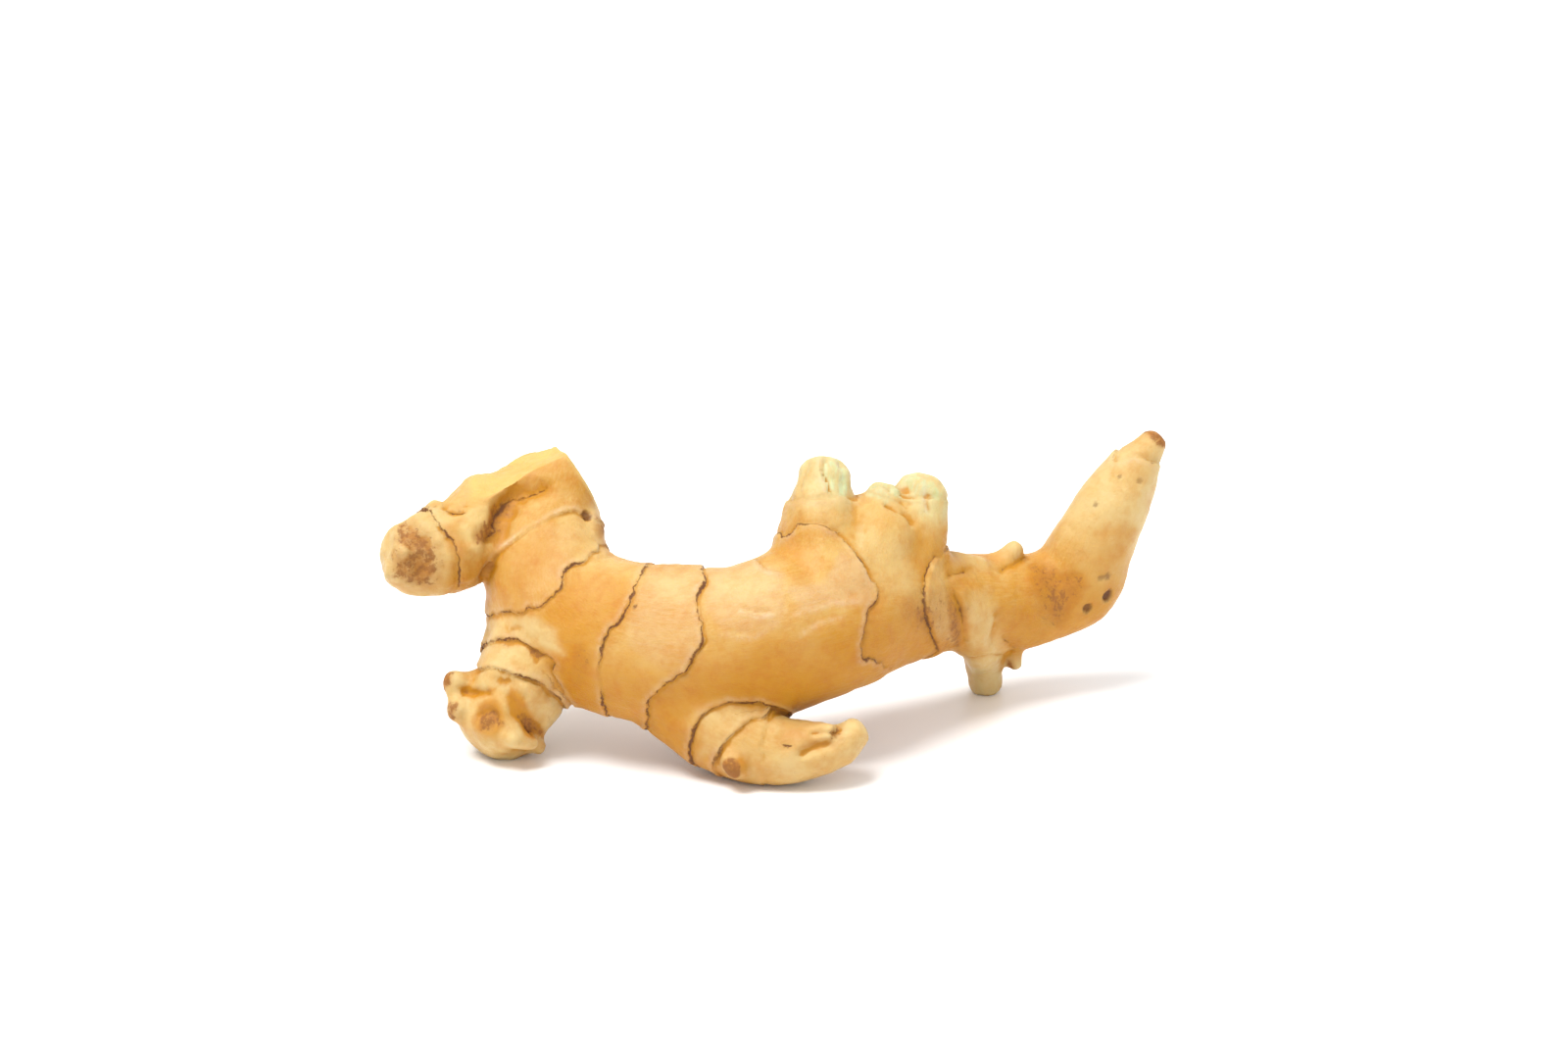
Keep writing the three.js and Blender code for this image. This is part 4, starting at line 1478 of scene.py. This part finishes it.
    def _keep_attributes(self, piece: bpy.types.Object) -> None:
        """Writes the attributes that the finish reads."""
        for name, values in self.attributes.items():
            kind = "FLOAT" if values.ndim == 1 else "FLOAT_VECTOR"
            layer = piece.data.attributes.new(name, kind, "POINT")
            slot = "value" if values.ndim == 1 else "vector"
            layer.data.foreach_set(slot, values.astype(np.float32).ravel())


class Wiring:
    """Adds and joins the nodes of a material."""

    def __init__(self, tree: bpy.types.NodeTree) -> None:
        """Keeps the tree."""
        self.tree = tree

    def add(self, kind: str, **settings: object) -> bpy.types.Node:
        """Adds a node and sets its own settings."""
        node = self.tree.nodes.new(kind)
        for name, value in settings.items():
            setattr(node, name, value)
        return node

    def join(self, source: object, target: bpy.types.NodeSocket) -> None:
        """Feeds a socket, or sets its value where the source is a number or a colour."""
        if isinstance(source, bpy.types.NodeSocket):
            self.tree.links.new(source, target)
        elif isinstance(source, tuple) and len(source) == 3 and target.type == "RGBA":
            target.default_value = (*source, 1.0)
        else:
            target.default_value = source

    def value(self, name: str) -> bpy.types.NodeSocket:
        """An attribute of the mesh as a number."""
        return self.add("ShaderNodeAttribute", attribute_name=name).outputs["Fac"]

    def vector(self, name: str) -> bpy.types.NodeSocket:
        """An attribute of the mesh as a vector."""
        return self.add("ShaderNodeAttribute", attribute_name=name).outputs["Vector"]

    def math(self, operation: str, first: object, second: object = 0.0) -> bpy.types.NodeSocket:
        """A sum or another operation on two numbers."""
        node = self.add("ShaderNodeMath", operation=operation)
        self.join(first, node.inputs[0])
        self.join(second, node.inputs[1])
        return node.outputs[0]

    def grade(self, value: object, low: float, high: float, to_low: float = 0.0,
              to_high: float = 1.0) -> bpy.types.NodeSocket:
        """A smooth step of a number between two limits."""
        node = self.add("ShaderNodeMapRange", interpolation_type="SMOOTHSTEP")
        for socket, source in zip(("Value", "From Min", "From Max", "To Min", "To Max"),
                                  (value, low, high, to_low, to_high)):
            self.join(source, node.inputs[socket])
        return node.outputs["Result"]

    def mix(self, share: object, first: object, second: object, blend: str = "MIX") -> bpy.types.NodeSocket:
        """A mix of two colours."""
        node = self.add("ShaderNodeMix", data_type="RGBA", blend_type=blend)
        self.join(share, node.inputs[0])
        self.join(first, node.inputs[6])
        self.join(second, node.inputs[7])
        return node.outputs[2]

    def cloud(self, place: bpy.types.NodeSocket, scale: float, detail: float = 3.0,
              roughness: float = 0.55) -> bpy.types.NodeSocket:
        """A noise texture as a number from 0 to 1."""
        node = self.add("ShaderNodeTexNoise")
        self.join(place, node.inputs["Vector"])
        for name, number in (("Scale", scale), ("Detail", detail), ("Roughness", roughness)):
            node.inputs[name].default_value = number
        return node.outputs["Fac"]


@dataclass(frozen=True)
class SkinFinish:
    """The finish of fresh ginger skin: its colours, and how fine its clouds are."""

    # Also the colour of painted shade on the underside, in the hollows and in the shade marks.
    amber_and_painted_shade: Colour = (0.46, 0.19, 0.001)
    tan: Colour = (0.51, 0.265, 0.045)
    cream: Colour = (0.58, 0.40, 0.145)
    # Also the colour of painted light on ridges and in the light marks.
    pale: Colour = (0.60, 0.455, 0.205)
    green: Colour = (0.50, 0.53, 0.29)
    paper: Colour = (0.53, 0.335, 0.16)
    # Also the colour of painted shade in creases and deep hollows.
    dry: Colour = (0.64, 0.51, 0.36)
    rust_and_painted_shade: Colour = (0.35, 0.14, 0.022)
    brown: Colour = (0.24, 0.092, 0.018)
    dark: Colour = (0.125, 0.045, 0.012)
    flesh: Colour = (0.58, 0.395, 0.115)

    # Clouds that lie evenly on the root, in cells for each metre.
    tone_scale: float = 45.0
    gather_scale: float = 90.0
    middle_scale: float = 120.0
    thickness_scale: float = 170.0
    blotch_scale: float = 260.0
    fleck_scale: float = 620.0
    pore_scale: float = 750.0
    dot_scale: float = 1500.0

    # Clouds that are drawn out along the fingers, in cells for each millimetre across.
    streak_scale: float = 0.55
    fibre_scale: float = 1.6
    thread_scale: float = 4.5
    fine_scale: float = 5.0

    bump: float = 0.7
    bump_height: float = 0.0005
    gloss: float = 0.27
    glow: float = 0.25  # how much of the light passes through the skin
    glow_depth: float = 0.002
    glow_colour: Colour = (1.0, 0.55, 0.18)

    def material(self) -> bpy.types.Material:
        """Makes the material.

        Returns:
            The material, which reads the skin's attributes.
        """
        material = bpy.data.materials.new("ginger skin")
        material.use_nodes = True
        tree = material.node_tree
        tree.nodes.clear()
        wire = Wiring(tree)
        nodes = SkinNodes(wire, self)
        colour = nodes.ground()
        for layer in (nodes.tinted_with_painted_light_and_shade, nodes.weathered_with_painted_hollow_shade, nodes.stained, nodes.lined, nodes.parted):
            colour = layer(colour)

        bump = wire.add("ShaderNodeBump")
        bump.inputs["Strength"].default_value = self.bump
        bump.inputs["Distance"].default_value = self.bump_height
        wire.join(nodes.height(), bump.inputs["Height"])

        shader = wire.add("ShaderNodeBsdfPrincipled")
        shader.inputs["Subsurface Weight"].default_value = self.glow
        shader.inputs["Subsurface Radius"].default_value = self.glow_colour
        shader.inputs["Subsurface Scale"].default_value = self.glow_depth
        shader.inputs["Specular IOR Level"].default_value = self.gloss
        wire.join(colour, shader.inputs["Base Color"])
        wire.join(nodes.roughness(), shader.inputs["Roughness"])
        wire.join(bump.outputs["Normal"], shader.inputs["Normal"])
        output = wire.add("ShaderNodeOutputMaterial")
        wire.join(shader.outputs["BSDF"], output.inputs["Surface"])
        return material


class SkinNodes:
    """The layers of the skin's material, from the bare skin to the face of the break."""

    def __init__(self, wire: Wiring, finish: SkinFinish) -> None:
        """Adds the clouds and attributes that several layers read.

        Args:
            wire: Adds nodes to the material's tree.
            finish: The colours, and how fine the clouds are.
        """
        self.wire = wire
        self.finish = finish
        self.place = wire.add("ShaderNodeTexCoord").outputs["Object"]
        self.grain = wire.vector("grain")
        self.meeting = wire.value("meeting")
        self.standing = wire.value("standing")
        self.stain = wire.value("stain")
        self.middle = wire.cloud(self.place, finish.middle_scale, 3.0)
        self.flecks = wire.cloud(self.place, finish.fleck_scale, 6.0, 0.72)
        self.blotches = wire.cloud(self.place, finish.blotch_scale, 5.0, 0.7)
        self.fibre = self._drawn_out(finish.fibre_scale, 4.0, 0.6)
        # Stains, with painted shade in creases and deep hollows.
        self.stains_and_painted_shade = self._stains_and_painted_shade()
        self.near, self.line = self._seam_line()

    def _drawn_out(self, scale: float, detail: float, roughness: float) -> bpy.types.NodeSocket:
        """A cloud drawn out along the fingers, which fades out where two of them meet."""
        cloud = self.wire.cloud(self.grain, scale, detail, roughness)
        return self.wire.grade(self.meeting, 1.0, 0.0, 0.5, cloud)

    def _held(self, name: str, share: object) -> bpy.types.NodeSocket:
        """An attribute of the mesh, held back by a share."""
        return self.wire.math("MULTIPLY", self.wire.value(name), share)

    def _stains_and_painted_shade(self) -> bpy.types.NodeSocket:
        """How brown the skin is from stains, and from painted shade in creases and deep hollows."""
        wire = self.wire
        stained = wire.math("MULTIPLY", self.stain, wire.grade(self.blotches, 0.25, 0.6, 0.35, 0.95))
        # Painted shade: brown in the creases where fingers meet, and in deep hollows below.
        stains_and_painted_shade = wire.math("MAXIMUM", stained, self._held("crease", 0.7))
        return wire.math("MAXIMUM", stains_and_painted_shade, wire.grade(self.standing, -0.5, -1.8, 0.0, 0.8))

    def _seam_line(self) -> tuple[bpy.types.NodeSocket, bpy.types.NodeSocket]:
        """How near a seam is, and its ragged line."""
        wire = self.wire
        uneven = wire.math("SUBTRACT", self.flecks, 0.5)
        offset = wire.math("ADD", wire.value("seam_offset"), wire.math("MULTIPLY", uneven, 1.8))
        cloud = wire.cloud(self.place, self.finish.thickness_scale, 2.0)
        thickness = wire.grade(cloud, 0.35, 0.65, 0.22, 0.8)
        widths = wire.math("DIVIDE", wire.math("ABSOLUTE", offset), thickness)
        near = wire.math("MULTIPLY", wire.grade(widths, 1.0, 0.0), wire.value("seam_line"))
        return near, wire.grade(wire.math("ADD", near, uneven), 0.3, 0.75)

    def ground(self) -> bpy.types.NodeSocket:
        """The bare skin, with its warm places, fibres and papery patches."""
        wire, finish = self.wire, self.finish
        tone = wire.cloud(self.place, finish.tone_scale, 4.0)
        colour = wire.mix(wire.grade(tone, 0.36, 0.66), finish.amber_and_painted_shade, finish.cream)
        colour = wire.mix(wire.grade(self.middle, 0.3, 0.75, 0.0, 0.6), colour, finish.tan)
        colour = wire.mix(wire.grade(self.fibre, 0.35, 0.7, 0.0, 0.3), colour, finish.cream)
        papery = self._held("paper", wire.grade(self.fibre, 0.2, 0.65, 0.3, 0.9))
        colour = wire.mix(papery, colour, finish.paper)
        threads = self._drawn_out(finish.thread_scale, 4.0, 0.7)
        colour = wire.mix(wire.grade(threads, 0.52, 0.7, 0.0, 0.3), colour, finish.tan)
        return wire.mix(wire.grade(threads, 0.48, 0.3, 0.0, 0.25), colour, finish.pale)

    def tinted_with_painted_light_and_shade(self, colour: bpy.types.NodeSocket) -> bpy.types.NodeSocket:
        """Painted shade in amber below, pale tips, painted light on ridges, amber marks that are mostly
        painted shade, cream marks that are partly painted light, and green where the fingers and marks are.
        """
        wire, finish = self.wire, self.finish
        # Painted shade: amber on the skin that faces down.
        colour = wire.mix(self._held("painted_underside_shade", 0.85), colour, finish.amber_and_painted_shade)
        washed = self._held("pale", wire.grade(self.middle, 0.35, 0.62, 0.4, 0.85))
        colour = wire.mix(washed, colour, finish.pale)
        # Painted light: skin that stands out of its surroundings is paler.
        colour = wire.mix(wire.grade(self.standing, 0.35, 1.6, 0.0, 0.5), colour, finish.pale)
        # Amber marks: real amber patches, and painted shade where the marks are named shade.
        colour = wire.mix(wire.value("amber_and_painted_shade"), colour, finish.amber_and_painted_shade)
        # Cream marks, mixed to the pale colour: pale nubs, and painted light where the marks are named
        # light.
        cream_and_painted_light = self._held("cream", wire.grade(self.middle, 0.35, 0.62, 0.5, 1.0))
        colour = wire.mix(cream_and_painted_light, colour, finish.pale)
        streaks = wire.grade(wire.cloud(self.grain, finish.streak_scale, 2.0), 0.35, 0.6, 0.35, 1.0)
        return wire.mix(self._held("green", streaks), colour, finish.green)

    def weathered_with_painted_hollow_shade(self, colour: bpy.types.NodeSocket) -> bpy.types.NodeSocket:
        """Faint blotches, painted shade in amber in the hollows, and the dry edges of the seams."""
        wire, finish = self.wire, self.finish
        mottled = wire.grade(self.blotches, 0.42, 0.68, 0.0, 0.3)
        colour = wire.mix(mottled, colour, finish.rust_and_painted_shade, "SOFT_LIGHT")
        # Painted shade: amber in the hollows.
        colour = wire.mix(wire.grade(self.standing, 0.0, -0.6, 0.0, 0.9), colour, finish.amber_and_painted_shade)
        light = self._held("seam_light", wire.grade(self.flecks, 0.35, 0.6, 0.25, 0.9))
        return wire.mix(light, colour, finish.dry)

    def stained(self, colour: bpy.types.NodeSocket) -> bpy.types.NodeSocket:
        """Rust-brown stains, painted shade in the same rust-brown in creases and deep hollows, and brown
        specks in the stains.
        """
        wire, finish = self.wire, self.finish
        # Stains in rust-brown, with painted shade of the same colour in creases and hollows.
        colour = wire.mix(self.stains_and_painted_shade, colour, finish.rust_and_painted_shade)
        specks = wire.math("ADD", self.flecks, wire.math("MULTIPLY", self.stain, 0.16))
        specks = wire.math("MULTIPLY", wire.grade(specks, 0.61, 0.71, 0.0, 0.8),
                           wire.grade(self.stain, 0.1, 0.5))
        return wire.mix(specks, colour, finish.brown)

    def lined(self, colour: bpy.types.NodeSocket) -> bpy.types.NodeSocket:
        """The lines of the seams, the pits and scattered dots."""
        wire, finish = self.wire, self.finish
        colour = wire.mix(self.line, colour, wire.mix(self.near, finish.brown, finish.dark))
        colour = wire.mix(wire.value("pit"), colour, finish.dark)
        dots = wire.grade(wire.cloud(self.place, finish.dot_scale, 2.0, 0.5), 0.74, 0.8, 0.0, 0.55)
        gathered = wire.grade(wire.cloud(self.place, finish.gather_scale, 2.0), 0.45, 0.65)
        return wire.mix(wire.math("MULTIPLY", dots, gathered), colour, finish.brown)

    def parted(self, colour: bpy.types.NodeSocket) -> bpy.types.NodeSocket:
        """The flesh on the face of the break."""
        wire, finish = self.wire, self.finish
        flesh = wire.mix(wire.grade(self.flecks, 0.5, 0.68, 0.0, 0.5), finish.flesh, finish.cream)
        flesh = wire.mix(wire.grade(self.middle, 0.45, 0.65, 0.0, 0.3), flesh, finish.tan)
        return wire.mix(wire.value("flesh"), colour, flesh)

    def height(self) -> bpy.types.NodeSocket:
        """The finest relief: fibres, pores and the grooves of the lines."""
        wire, finish = self.wire, self.finish
        fine = wire.math("MULTIPLY", self._drawn_out(finish.fine_scale, 5.0, 0.7), 0.4)
        pores = wire.math("MULTIPLY", wire.cloud(self.place, finish.pore_scale, 5.0, 0.65), 0.8)
        return wire.math("SUBTRACT", wire.math("ADD", fine, pores), wire.math("MULTIPLY", self.line, 0.8))

    def roughness(self) -> bpy.types.NodeSocket:
        """Smooth skin, duller along its fibres and in its stains."""
        wire = self.wire
        dull = wire.math("MULTIPLY", self.stains_and_painted_shade, 0.25)
        return wire.math("ADD", wire.grade(self.fibre, 0.3, 0.7, 0.3, 0.5), dull)


@dataclass(frozen=True)
class SoftLight:
    """An even light from a wide bank of lamps."""

    name: str
    source: Place  # the direction that it comes from
    spread: float  # how wide the bank looks from the root, in degrees
    strength: float

    def build(self) -> None:
        """Makes the light."""
        turn = Vector(self.source).to_track_quat("Z", "Y").to_euler()
        bpy.ops.object.light_add(type="SUN", rotation=turn)
        light = bpy.context.object
        light.name = self.name
        light.data.angle = math.radians(self.spread)
        light.data.energy = self.strength


@dataclass(frozen=True)
class Studio:
    """The plain pale floor and the soft light."""

    floor_side: float = 40.0
    floor_colour: Colour = (0.96, 0.96, 0.96)
    floor_roughness: float = 0.35
    sky_colour: Colour = (1.0, 1.0, 1.0)
    sky: float = 0.66
    lights: tuple[SoftLight, ...] = (
        SoftLight("key light", (-0.30, -0.15, 0.94), 32.0, 3.75),
        SoftLight("front light", (0.10, -0.90, 0.42), 90.0, 0.7),
        SoftLight("rear light", (0.55, 0.50, 0.67), 80.0, 0.8),
    )

    def build(self) -> None:
        """Makes the floor, the lights and the plain surroundings."""
        bpy.ops.mesh.primitive_plane_add(size=self.floor_side)
        floor = bpy.context.object
        floor.name = "floor"
        material = bpy.data.materials.new("floor")
        material.use_nodes = True
        shader = material.node_tree.nodes["Principled BSDF"]
        shader.inputs["Base Color"].default_value = (*self.floor_colour, 1.0)
        shader.inputs["Roughness"].default_value = self.floor_roughness
        floor.data.materials.append(material)
        world = bpy.data.worlds.new("surroundings")
        world.use_nodes = True
        background = world.node_tree.nodes["Background"]
        background.inputs["Color"].default_value = (*self.sky_colour, 1.0)
        background.inputs["Strength"].default_value = self.sky
        bpy.context.scene.world = world
        for light in self.lights:
            light.build()


def main() -> None:
    """Builds the root, its finish and the studio."""
    logging.basicConfig(level=logging.INFO, format="%(message)s")
    bpy.ops.object.select_all(action="DESELECT")
    VIEW.camera()
    skin = Skin().build()
    skin.data.materials.append(SkinFinish().material())
    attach(skin, "root")
    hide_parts(NODE)
    log.info("%s: %d faces", skin.name, len(skin.data.polygons))
    Studio().build()
    bpy.context.scene.view_settings.view_transform = "Standard"


if __name__ == "__main__":
    main()
